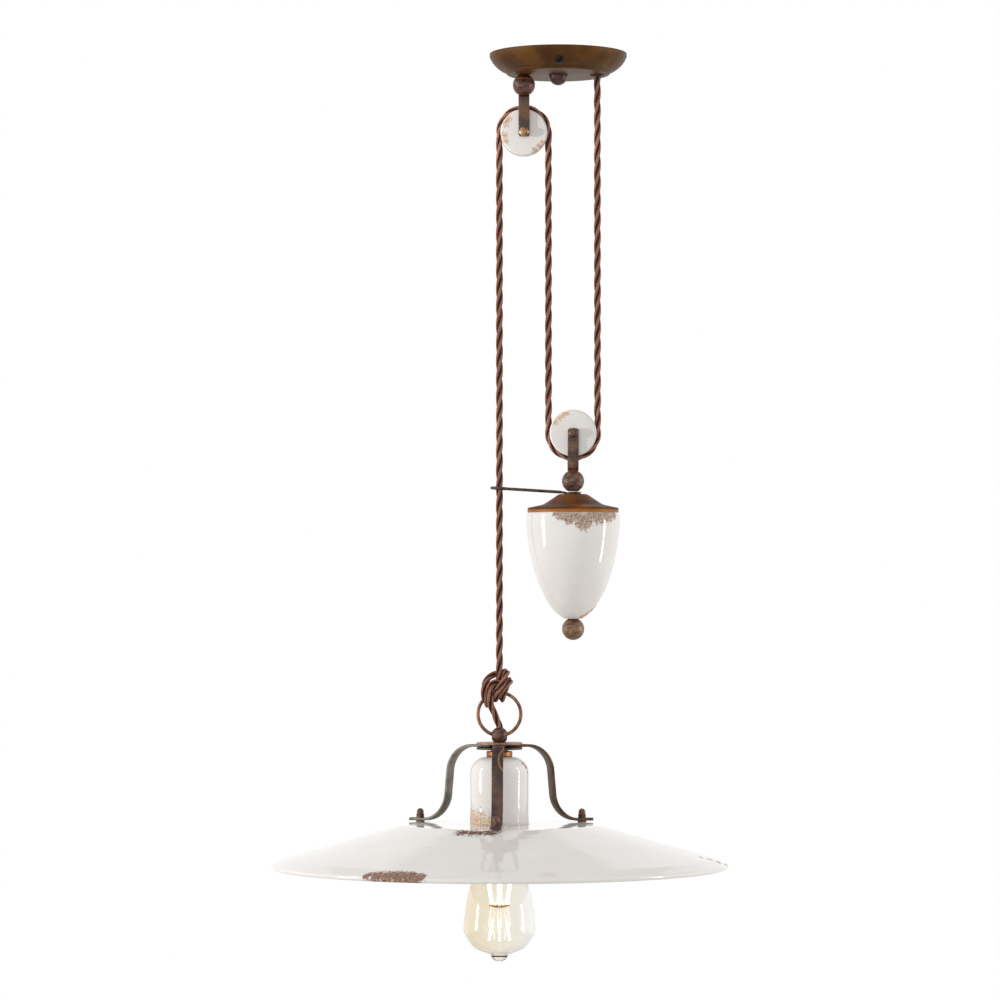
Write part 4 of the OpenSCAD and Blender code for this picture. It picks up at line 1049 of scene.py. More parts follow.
@dataclass
class Cord:
    """One twisted cord of three right-handed cores, from the canopy over both wheels to the lamp."""

    layout: Layout
    diameter: float = 6.5
    core_r: float = 1.65
    core_at: float = 1.6
    lay: float = 50.0
    step: float = 1.25
    inner_top: float = 32.5
    inner_end_z: float = -662.2
    gone: float = 0.0

    KNOT = [
        [0, 0, 27], [0, 0, 21.5], [-0.3, 1.5, 16], [-1.5, 4.5, 11], [-3, 6.4, 5.5], [-3.8, 6.2, 0], [-4, 4, -4],
        [-4, 0, -5.6], [-3.8, -4, -5.2], [-3.2, -7.6, -2.8], [-2, -10, 0.8], [0.5, -10.8, 5], [3, -9.8, 9.5],
        [5, -7.2, 13.8], [6.3, -3, 17.3], [6.3, 2, 18.8], [3.5, 6.4, 18.5], [-0.5, 8, 18], [-5, 7.2, 16.6],
        [-9.5, 4, 13.4], [-12.8, 0, 9], [-14, -3, 4], [-13.9, -5, -1], [-13, -5, -6.2], [-11.6, -2.2, -10],
        [-10, 1.8, -10.8], [-8.2, 6.2, -9], [-6.2, 10.6, -5], [-2.8, 13, 0.5], [1.5, 12.8, 5.2], [5.5, 10, 8.8],
        [8.4, 5.8, 10.8], [9.4, 1, 10.8], [8.6, -3.4, 9], [6.6, -5.6, 6], [4.7, -5.9, 2.4], [3.4, -5.6, -1],
        [2.7, -4, -4.2], [2.4, -0.4, -5.8], [2.6, 3.6, -4.8], [3.1, 5.8, -1.2], [3.6, 5, 3.2], [2.8, 2, 6.4],
        [-0.4, -1.4, 8.8], [-4.2, -4.4, 9.3], [-7.9, -7.6, 6.6], [-9.3, -9.8, 0.8], [-8.8, -10.4, -5.4],
        [-7.9, -9.4, -10], [-6.6, -7.6, -14.4],
    ]
    TAIL = [
        [-6.6, -7.6, -14.4], [-4.9, -5.6, -18.8], [-3.1, -3.5, -22.8], [-1.5, -1.6, -26.2], [-0.4, -0.4, -29],
        [0, 0, -31.2], [0, 0, -32.4],
    ]

    def twisted(self, path: Array, side: Array) -> Surface:
        """Three cores laid together along a path.

        Core n has its middle at e (cos a, sin a), a = 2 pi s / lay + 2 pi n / 3, and its outside is that
        middle plus r (cos(a + w), sin(a + w)), with w between the two grooves, where neighbours meet.

        Args:
            path: Points, (n, 3), about one step apart.
            side: Side direction, one or one for each point.

        Returns:
            The surface, with its braid coordinates.
        """
        s = self.gone + np.concatenate([[0], np.cumsum(np.linalg.norm(np.diff(path, axis=0), axis=1))])
        e, r = self.core_at, self.core_r
        groove = math.radians(60) + math.asin(min(1.0, math.sin(math.radians(120)) * e / r))
        per = 12
        w = np.tile(np.linspace(-groove, groove, per, endpoint=False), 3)[None]
        core = np.repeat(np.arange(3), per)[None] * 2 * math.pi / 3
        a = (2 * math.pi * s / self.lay)[:, None] + core
        section = np.stack([e * np.cos(a) + r * np.cos(a + w), e * np.sin(a) + r * np.sin(a + w)], -1)
        surface = carried(path, side, section)
        surface.uv_round = 3.0
        surface.uv_along = np.concatenate([s[:1], s, s[-1:]])
        self.gone = float(s[-1])
        return surface

    def straight(self, x: float, start: float, end: float) -> Array:
        """A straight path down or up at one x."""
        count = max(2, int(round(abs(end - start) / self.step)) + 1)
        z = np.linspace(start, end, count)
        return np.stack([np.full(count, x), np.zeros(count), z], -1)

    def half_turn(self, x: float, z: float, start: float, end: float) -> Array:
        """Half a turn about a wheel: (x + R cos t, 0, z + R sin t)."""
        flat = arc((x, z), self.layout.turn_r, start, end, int(self.layout.turn_r * math.pi / self.step))
        return np.stack([flat[:, 0], np.zeros(len(flat)), flat[:, 1]], -1)

    def piece(self, name: str, path: Array, side: Array, node: str,
              braid: bpy.types.Material) -> bpy.types.Object:
        """One stretch of cord as an object with its material.

        Args:
            name: The piece's name.
            path: Its middle line.
            side: Side directions.
            node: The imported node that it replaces.
            braid: The material.

        Returns:
            The object, not yet on a body.
        """
        obj = make(name, [self.twisted(path, side)], sharp=180)
        obj.data.materials.append(braid)
        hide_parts(node)
        log.info("%s: %.0f mm of cord", name, length_of(path))
        return obj

    def stretch(self, obj: bpy.types.Object, a: Body, b: Body, start: Array, end: Array) -> None:
        """A run between two bodies, whose place is baked into its mesh; its points are read and left as they are."""
        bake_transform(obj)
        count = len(obj.data.vertices)
        co = np.zeros(count * 3)
        obj.data.vertices.foreach_get("co", co)

    def build(self) -> None:
        """All stretches, in order from the grip in the canopy to the lamp."""
        at = self.layout
        braid = BraidedCotton().material("Twisted cotton braid cord")
        y = np.array([0.0, 1.0, 0.0])
        runs = [
            ("fixed_run", self.straight(at.fixed_x, at.cord_top_z, at.lower_axle_z), "cord_fixed_run"),
            ("lower_turn", self.half_turn(at.lower_x, at.lower_axle_z, 0, -180), "cord_lower_turn"),
            ("middle_run", self.straight(at.middle_x, at.lower_axle_z, at.upper_axle_z), "cord_middle_run"),
            ("upper_turn", self.half_turn(at.upper_x, at.upper_axle_z, 0, 180), "cord_upper_turn"),
            ("lamp_run", self.straight(at.lamp_x, at.upper_axle_z, at.knot_z + self.KNOT[0][2]), "cord_lamp_run"),
        ]
        made = {name: (self.piece(name, path, y, node, braid), path) for name, path, node in runs}
        ends = {"fixed_run": (Body.CANOPY, Body.COUNTERWEIGHT), "middle_run": (Body.COUNTERWEIGHT, Body.CANOPY),
                "lamp_run": (Body.CANOPY, Body.HANGER)}
        for name, (obj, path) in made.items():
            if name in ends:
                self.stretch(obj, *ends[name], path[0], path[-1])
            else:
                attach(obj, (Body.COUNTERWEIGHT if name == "lower_turn" else Body.CANOPY).value)
        self.knot(braid, y)

    def knot(self, braid: bpy.types.Material, side: Array) -> None:
        """The knot round the hanging ring, the tail into the lamp's ball, and the end inside the lamp."""
        at = self.layout
        top = np.array([at.lamp_x, 0.0, at.knot_z])
        route = spline(self.KNOT, 12) + top
        tail = spline(self.TAIL, 12) + top
        route = along(route, np.linspace(0, length_of(route), int(length_of(route) / self.step)))
        tail = along(tail, np.linspace(0, length_of(tail), int(length_of(tail) / self.step)))
        sides = least_turning(np.vstack([route, tail[1:]]), side)
        knot = self.piece("knot", route, sides[: len(route)], "cord_knot", braid)
        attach(knot, Body.HANGER.value)
        last = self.piece("tail", tail, sides[len(route) - 1 :], "cord_tail", braid)
        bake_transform(last)
        inner = self.straight(at.lamp_x, at.knot_z - self.inner_top, self.inner_end_z)
        end = self.piece("lamp_end", inner, sides[-1], "cord_lamp_end", braid)
        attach(end, Body.LAMP.value)


def ball(x: float, z: float, radius: float, above: float, below: float) -> Surface:
    """A ball cut flat above and below: r = sqrt(R^2 - h^2) between the flats, whose edges are eased."""
    top, low = (math.degrees(math.asin(min(1.0, v / radius))) for v in (above, below))
    side = arc((0.0, 0.0), radius, top, -low, 40)
    return turned(eased(np.vstack([[0, above], side, [0, -below]]), [0] + [0.4] + [0] * 39 + [0.4, 0]), x, z)


def fork(layout: Layout, x: float, seat_z: float, way: int) -> Surface:
    """A strap bent to a U round a wheel: straight legs, two bends of middle radius 3, and a flat web.

    Args:
        layout: The shared places.
        x: The fork's x.
        seat_z: Height of its web's outer face.
        way: 1 if its legs hang down from the web, -1 if they stand up.

    Returns:
        The surface.
    """
    width, thick, corner, bend, past = 10.0, 2.0, 2.2, 3.0, 4.2
    half = layout.wheel_half + layout.side_gap + thick / 2
    leg = layout.fork_reach - layout.ball_flat + past
    turn = (half - bend, -bend - thick / 2)
    line = np.vstack([[half, -leg], arc(turn, bend, 0, 90, 10), arc((-turn[0], turn[1]), bend, 90, 180, 10),
                      [-half, -leg]])
    line[:, 1] *= way
    return strap(line, Plane((x, 0, seat_z), (0, 1, 0)), width, thick, corner)



def wheel(x: float, z: float) -> Surface:
    """A grooved wheel about Y: groove radius 3.6 about the cord's line, rim radius 21.5, edges eased."""
    rim, half, edge, turn, groove, bore, hub = 21.5, 6.0, 1.5, 22.5, 3.6, 4.1, 12.0
    angle = math.degrees(math.atan2(math.sqrt(groove**2 - (turn - rim) ** 2), turn - rim))
    line = np.vstack([
        [bore, -half], [hub, -half], arc((rim - edge, edge - half), edge, -90, 0, 8),
        arc((turn, 0), groove, 180 + angle, 180 - angle, 20), arc((rim - edge, half - edge), edge, 0, 90, 8),
        [hub, half], [bore, half],
    ])
    return turned(line, x, z, level=True, steps=144)


def axle(layout: Layout, x: float, z: float) -> list[Surface]:
    """A pin along Y with a domed head in front and a smaller one behind."""
    end = layout.wheel_half + layout.side_gap + 2
    pin_r, head_r, rear_r, dome_r = 2.5, 4.5, 4.0, 5.2
    pin = np.array([[0, -end - 0.1], [pin_r, -end - 0.1], [pin_r, end + 0.1], [0, end + 0.1]])
    rise = dome_r - math.sqrt(dome_r**2 - head_r**2)
    t = np.radians(np.linspace(0, 90, 13))
    front = np.vstack([[0, -end - 0.05], [head_r - 0.3, -end - 0.05], [head_r, -end - 0.3],
                       np.stack([head_r * np.cos(t), -end - 0.55 - (rise - 0.2) * np.sin(t)], -1)])
    rear = np.vstack([[0, end + 0.05], [rear_r - 0.2, end + 0.05], [rear_r, end + 0.25],
                      np.stack([rear_r * np.cos(t), end + 0.3 + 1.5 * np.sin(t)], -1)])
    return [turned(line, x, z, level=True, steps=48) for line in (pin, front, rear)]


@dataclass
class Canopy:
    """The ceiling end: shell, bracket, screws, centre nut, ball, fork, axle, cord outlet and wiring."""

    layout: Layout
    radius: float = 63.0
    lip: float = 3.0
    bowl_r: float = 25.0
    step_r: float = 49.0
    step_h: float = 16.8
    edge_r: float = 2.5
    wall: float = 1.2
    dome_r: float = 8.5

    def side(self, t: float) -> Array:
        """Outline from the ceiling to the plate, moved inwards by t."""
        return np.vstack([
            [self.radius - t, 0],
            bow((self.radius - t, -self.lip), (self.step_r - 0.4 * t, -self.step_h + 0.93 * t),
                -(self.bowl_r - t), 20),
            [self.step_r - 0.7 - t, -self.step_h + 0.93 * t],
            arc((self.step_r - 1 - self.edge_r, -self.step_h), self.edge_r - t, 0, -90, 8),
        ])

    def shell(self) -> Surface:
        """The spun shell: the outline outside, and the same moved in by the sheet's thickness inside."""
        outer, inner = self.side(0), self.side(self.wall)
        bottom = self.layout.plate_z
        line = np.vstack([[0, bottom], outer[::-1], inner, [0, bottom + self.wall]])
        return turned(line, 0, steps=160)

    def centre_nut(self) -> Surface:
        """The domed nut under the plate: a half ball with a short straight rim."""
        z, r = self.layout.plate_z, self.dome_r
        line = np.vstack([[0, z], [r - 0.3, z], [r, z - 0.3], arc((0, z - 1), r, 0, -90, 20)])
        return turned(line, 0, steps=64)

    def bush(self) -> Surface:
        """The rubber bush's flange round the cord."""
        z, bore = self.layout.plate_z, 3.55
        line = eased(np.array([[bore, z - 2], [6.2, z - 2], [6.2, z], [4.7, z], [4.7, z + 1.2], [5.5, z + 1.2],
                               [4.7, z + 2.8], [bore, z + 2.8]]), [0.5, 0.6, 0.1, 0, 0, 0.2, 0.2, 0.3],
                     closed=True)
        return turned(line, self.layout.fixed_x, steps=48)

    def wires(self, way: int) -> Surface:
        """One core from the grip to the terminal block."""
        x, top = self.layout.fixed_x, self.layout.cord_top_z
        z = self.layout.plate_z + 1.2 + 4.5
        path = spline([[x + way * 2, -abs(way) * 1.6, top], [x + way * 2.6, 1 - abs(way) * 1.6, top + 2.6],
                       [x - 4 + way * 3.4, 8 + way * 1.2, top + 2.6], [23 + way * 7, 13, z + 1.5],
                       [23 + way * 7, 16.9, z], [23 + way * 7, 21, z]], 12)
        first = np.cross(directions(path)[0], [0, 1, 0])
        return rod(path, least_turning(path, first / np.linalg.norm(first)), 1.1, 12)

    def build(self) -> None:
        """Build and dress every piece that the canopy carries."""
        at, me = self.layout, Body.CANOPY
        shell = make("canopy_dress", [self.shell()], 28)
        fit(shell, me, "canopy", BronzedSteel().material("Bronze lacquered pressed steel"), "canopy_shell")
        zinc = BareMetal().material("Zinc plated steel screws")
        black = Moulded("#1E1C1B", "#2A2725", 0.42, 0.5).material("Black rubber")
        blued = BareMetal("#0C0B0B", "#1A1715", 0.16, 0.6).material("Black polished screw")
        fit_small(me, ("ceiling_bracket", "bracket_dress", 0.25, "bracket", zinc),
                  ("canopy_side_screws", "side_screws", 0.12, "side_screws", blued),
                  ("centre_stud", "stud", 0.15, "steel", zinc),
                  ("upper_fork_screw", "upper_screw", 0.15, "steel", zinc),
                  ("upper_screw_nut", "upper_nut", 0.15, "steel", zinc))
        nut = WaxedRust("#2E1E1B", "#543A32", "#7A4A2C", 5.0, 0.2,
                        grain=2.0).material("Dark brown domed centre nut")
        fit(make("ceiling_nut", [self.centre_nut()]), me, "balls", nut, "centre_cap_nut")
        rust = WaxedRust("#35211D", "#6E4C42", "#B5652B", 6.0, 0.2,
                         line_z=(at.upper_ball_z + 5.4, at.upper_ball_z - 9.0),
                         grain=2.6).material("Waxed rusty turned steel ball")
        top = ball(at.upper_x, at.upper_ball_z, at.ball_r, at.ball_flat, at.ball_flat)
        fit(make("ball_upper", [top]), me, "balls", rust, "upper_ball")
        olive = WaxedRust("#3C2C26", "#66482C", "#8A5A38", 14.0, 0.12).material("Waxed brown steel strap")
        seat = at.upper_ball_z - at.ball_flat
        fit(make("fork_upper", [fork(at, at.upper_x, seat, 1)]), me, "forks", olive, "upper_fork")
        tan = WaxedRust("#7A5A3C", "#A8845C", "#8A5A34", 3.0, 0.2, 0.5, 0.3).material("Tan worn rivet steel")
        fit(make("axle_upper", axle(at, at.upper_x, at.upper_axle_z)), me, "axles", tan, "upper_axle")
        fit(make("outlet_bush", [self.bush()]), me, "bush", black, "cord_bush")
        pale = Moulded("#E6E2DA", "#D8D3C8", 0.35, 1.0).material("White moulded nylon")
        fit_small(me, ("cord_grip", "grip", 0.3, "grip", pale),
                  ("terminal_block", "terminals", 0.3, "grip", pale))
        insulation = Moulded("#4A5A7A", "#3E4C68", 0.45, 0.6).material("Coloured core insulation")
        fit(make("wires", [self.wires(w) for w in (-1, 0, 1)]), me, "cores", insulation, "core_wires")


@dataclass
class Pulley:
    """One glazed wheel on its brass bush."""

    x: float
    z: float
    body: Body
    prefix: str
    glaze: bpy.types.Material
    brass: bpy.types.Material

    def build(self) -> None:
        """The wheel, with the bush as a softened copy of its solid."""
        fit(make(self.prefix + "_wheel_dress", [wheel(self.x, self.z)], 25), self.body, "wheel", self.glaze,
            self.prefix + "_pulley_wheel")
        fit(softened(self.prefix + "_pulley_bush", self.prefix + "_bush_dress", 0.15), self.body, "wheel_bush",
            self.brass)


@dataclass
class Counterweight:
    """Fork, ball, washer, guide arm, steel cap, glazed bell with its ballast, rod and bottom ball."""

    layout: Layout
    cap_r: float = 41.75
    cap_wall: float = 1.5
    band: float = 4.4
    bell_r: float = 43.3
    bell_h: float = 95.3
    power: float = 1.8
    wall: float = 5.5
    foot_r: float = 8.0
    flat_r: float = 10.0
    shoulder: float = 9.0
    flare: float = 16.0
    flank: float = 9.5
    slope: float = 34.0
    brim: float = 12.0

    def cap_side(self, t: float) -> Array:
        """Outline of the cap from its flat top to its band, moved inwards by t: shoulder, flank and flare."""
        s, b = math.radians(self.slope), math.radians(self.brim)
        out_x = self.flat_r + self.shoulder * math.sin(s) + self.flank
        out_x += self.flare * (math.sin(s) - math.sin(b))
        drop = self.shoulder * (1 - math.cos(s)) + self.flank * math.tan(s)
        drop += self.flare * (math.cos(b) - math.cos(s))
        top = self.layout.cap_top_z
        edge = top - drop - (self.cap_r - out_x) * math.tan(b)
        return np.vstack([
            arc((self.flat_r, top - self.shoulder), self.shoulder - t, 90, 90 - self.slope, 10),
            arc((out_x + self.flare * math.sin(b), top - drop + self.flare * math.cos(b)), self.flare + t,
                270 - self.slope, 270 - self.brim, 8),
            [self.cap_r - t, edge - t / math.cos(b) + t * math.tan(b)],
        ])

    @property
    def bell_top_z(self) -> float:
        """Lower edge of the cap's band, on the bell's rim."""
        return float(self.cap_side(0)[-1, 1]) - self.band

    @property
    def bell_z(self) -> float:
        """Height where the bell is widest."""
        return self.bell_top_z - 3.7

    @property
    def foot_share(self) -> float:
        """Share of bell_h at which the curve has narrowed to the foot's radius."""
        return (1 - (self.foot_r / self.bell_r) ** 2) ** (1 / self.power)

    def curve(self, r: float, h: float, end: float, steps: int = 48) -> Array:
        """The bell's curve: radius r sqrt(1 - t^p) at a drop of t h, with steps closer towards its end."""
        t = end * (1 - (1 - np.linspace(0, 1, steps + 1)) ** 1.6)
        return np.stack([r * np.sqrt(np.maximum(0, 1 - t**self.power)), self.bell_z - t * h], -1)

    def cap(self) -> Surface:
        """The spun cap: outline, straight band, and the same inside, with its rim's edge eased."""
        outer, inner = self.cap_side(0), self.cap_side(self.cap_wall)
        bore, top, low = 3.2, self.layout.cap_top_z, self.bell_top_z
        line = np.vstack([
            [bore, top], outer[:-1], eased(np.vstack([outer[-2:], [self.cap_r, low]]), [0, 0.6, 0], 4)[1:-1],
            [self.cap_r, low + 0.3], [self.cap_r - 0.3, low], [self.cap_r - self.cap_wall, low], inner[::-1],
            [bore, top - self.cap_wall],
        ])
        return turned(line, self.layout.lower_x, steps=160)

    def bell(self) -> Surface:
        """The ceramic bell: rounded rim, long curve and flat foot outside, and a thinner curve inside."""
        outer = self.curve(self.bell_r, self.bell_h, self.foot_share, 72)
        inner = self.curve(self.bell_r - self.wall, self.bell_h - self.wall - 1, 1.0)
        rim = bow((self.cap_r - 0.2, self.bell_top_z), (self.bell_r, self.bell_z), -4.5, 8)
        low = outer[-1, 1]
        foot_line = eased(np.vstack([outer[-2:], [0, low]]), [0, 0.8, 0], 4)[1:]
        line = np.vstack([foot_line[::-1], outer[-2::-1], rim[-2::-1], [self.bell_r - self.wall, self.bell_top_z],
                          inner])
        return turned(line, self.layout.lower_x, steps=192)

    def guide_arm(self) -> list[Surface]:
        """Flat eye, wire that rises 3.5 degrees to the left, and a ring round the lamp's cord."""
        at = self.layout
        top, neck, rise = at.cap_top_z, 10.0, math.radians(3.5)
        eye_h, ring_r, wire_r = 1.6, 7.0, 1.4
        reach = (at.lower_x - at.lamp_x - neck) / math.cos(rise)
        eye = turned(eased(np.array([[3.2, top], [7, top], [7, top + eye_h], [3.2, top + eye_h]]), 0.3, closed=True),
                     at.lower_x, steps=48)
        start = np.array([at.lower_x - neck, 0, top + eye_h])
        way = np.array([-math.cos(rise), 0, math.sin(rise)])
        far = reach - ring_r
        s = np.concatenate([[-5.5, -4], np.linspace(-3, 3, 13), np.linspace(4, far, 30)])
        path = start + s[:, None] * way
        path[s < 0, 2] = start[2] - 0.75 * np.minimum(1, -s[s < 0] / 3)
        t = np.linspace(0, 2 * math.pi, 24, endpoint=False)
        share = np.clip((s + 3) / 6, 0, 1)[:, None]
        share = share * share * (3 - 2 * share)
        thick, wide = 0.8 + 0.6 * share, 2.3 - 0.9 * share
        wire = carried(path, np.array([0.0, 1.0, 0.0]), np.stack([thick * np.cos(t), wide * np.sin(t)], -1))
        loop_t = np.linspace(0, 2 * math.pi, 64, endpoint=False)
        centre = start + reach * way
        side = np.array([math.sin(rise), 0, math.cos(rise)])
        rim = ring_r + wire_r * np.cos(t)
        u, v = np.cos(loop_t)[:, None, None], np.sin(loop_t)[:, None, None]
        ring = centre + rim[None, :, None] * (u * way + v * np.array([0, 1, 0]))
        ring = ring + (wire_r * np.sin(t))[None, :, None] * side
        return [eye, wire, Surface(ring, loop=True)]

    def build(self, glaze: GlazedPorcelain) -> None:
        """Build and dress every piece of the counterweight.

        Args:
            glaze: The porcelain's glaze.
        """
        at, me = self.layout, Body.COUNTERWEIGHT
        x = at.lower_x
        rust = WaxedRust("#3C2620", "#7A5A4C", "#9A5A2C", 6.0, 0.24, line_z=(at.lower_ball_z + 8.8,), grain=3.0
                         ).material("Waxed rusty lower ball")
        brown = WaxedRust("#5A4030", "#8A6A50", "#A8703C", 6.0, 0.2,
                          grain=3.0).material("Waxed brown bottom ball")
        olive = WaxedRust("#3A2822", "#6A4C34", "#A8632F", 12.0, 0.16, line_z=(at.lower_axle_z - 34.6,)
                          ).material("Waxed rusty strap")
        seat = at.lower_ball_z + at.ball_flat
        fit(make("fork_lower", [fork(at, x, seat, -1)]), me, "forks", olive, "lower_fork")
        copper = WaxedRust("#3A2A24", "#6A4A3A", "#A8632F", 3.0, 0.2, 0.5, 0.3).material("Dark rusty rivet steel")
        fit(make("axle_lower", axle(at, x, at.lower_axle_z)), me, "axles", copper, "lower_axle")
        upper = ball(x, at.lower_ball_z, at.ball_r, at.ball_flat, at.ball_flat)
        fit(make("ball_lower", [upper]), me, "balls", rust, "lower_ball")
        foot = float(self.curve(self.bell_r, self.bell_h, self.foot_share)[-1, 1])
        fit(make("ball_bottom", [ball(x, foot - at.ball_flat, at.ball_r, at.ball_flat, at.ball_r)]), me, "balls",
            brown, "bottom_ball")
        pale = BareMetal("#D8D4CC", "#B8B0A4", 0.4).material("Pale zinc washer")
        fit(softened("pale_washer", "washer_dress", 0.15), me, "pale_washer", pale)
        wire = WaxedRust("#2E211C", "#5A4030", "#8A5A38", 6.0, 0.2).material("Dark brown steel wire")
        fit(make("arm_to_cord", self.guide_arm()), me, "guide", wire, "guide_arm")
        steel = BronzedSteel("#2E1506", "#4E290E", "#6E4018", 0.15, 0.46, self.bell_top_z + 1.6, "#A8661F")
        fit(make("cap_dress", [self.cap()], 30), me, "cap", steel.material("Rust brown lacquered steel cap"),
            "weight_cap")
        flakes = (
            Flake(((-3, -40, -423, 3.6), (2.5, -42, -424, 6), (9.5, -43, -425, 8.2), (16, -43, -425, 7.4),
                   (22.5, -42, -430, 8.6), (29, -40, -425, 7), (36.5, -36.5, -426, 7.6), (44.5, -30, -424.5, 7.2),
                   (50, -23, -423.5, 5)), "#4A362E", "#C0A898", ragged=2.4),
            Flake(((21.5, -8.5, -517, 2.8), (25.5, -7.8, -515, 3), (30, -6.9, -511.5, 2.6),
                   (33.5, -5.7, -508, 2)),
                  "#8A5038", "#D9B090"),
        )
        fit(make("bell_dress", [self.bell()], 40), me, "bell", glaze.material("Glazed porcelain bell", flakes),
            "weight_bell")
        iron = Moulded("#3C3A38", "#4A4542", 0.6, 1.5, 0.0002).material("Cast iron ballast")
        zinc = BareMetal().material("Zinc plated weight rod")
        fit_small(me, ("ballast_upper", "ballast_top", 0.4, "ballast", iron),
                  ("ballast_lower", "ballast_low", 0.4, "ballast", iron),
                  ("weight_rod", "rod_dress", 0.15, "steel", zinc))


@dataclass
class Hanger:
    """The ring of round wire that the knot is tied to; its two ends turn in the lamp's ball."""

    layout: Layout
    wire_r: float = 1.6
    end_x: float = 4.0

    def build(self) -> None:
        """The ring as one round wire, a circle but for the gap between its ends inside the ball."""
        at = self.layout
        gap = math.degrees(math.asin(self.end_x / at.ring_r))
        flat = arc((0, 0), at.ring_r, gap - 90, 270 - gap, 140)
        path = Plane((at.lamp_x, 0, at.ring_z), (1, 0, 0)).lift(flat)
        ring = rod(path, np.array([0.0, 1.0, 0.0]), self.wire_r, 28)
        rust = WaxedRust("#5A3A28", "#9A6E4A", "#B87A48", 7.0, 0.2, 0.4, 0.34).material("Coppery brown ring wire")
        fit(make("ring_dress", [ring], 60), Body.HANGER, "ring", rust, "hanging_ring")


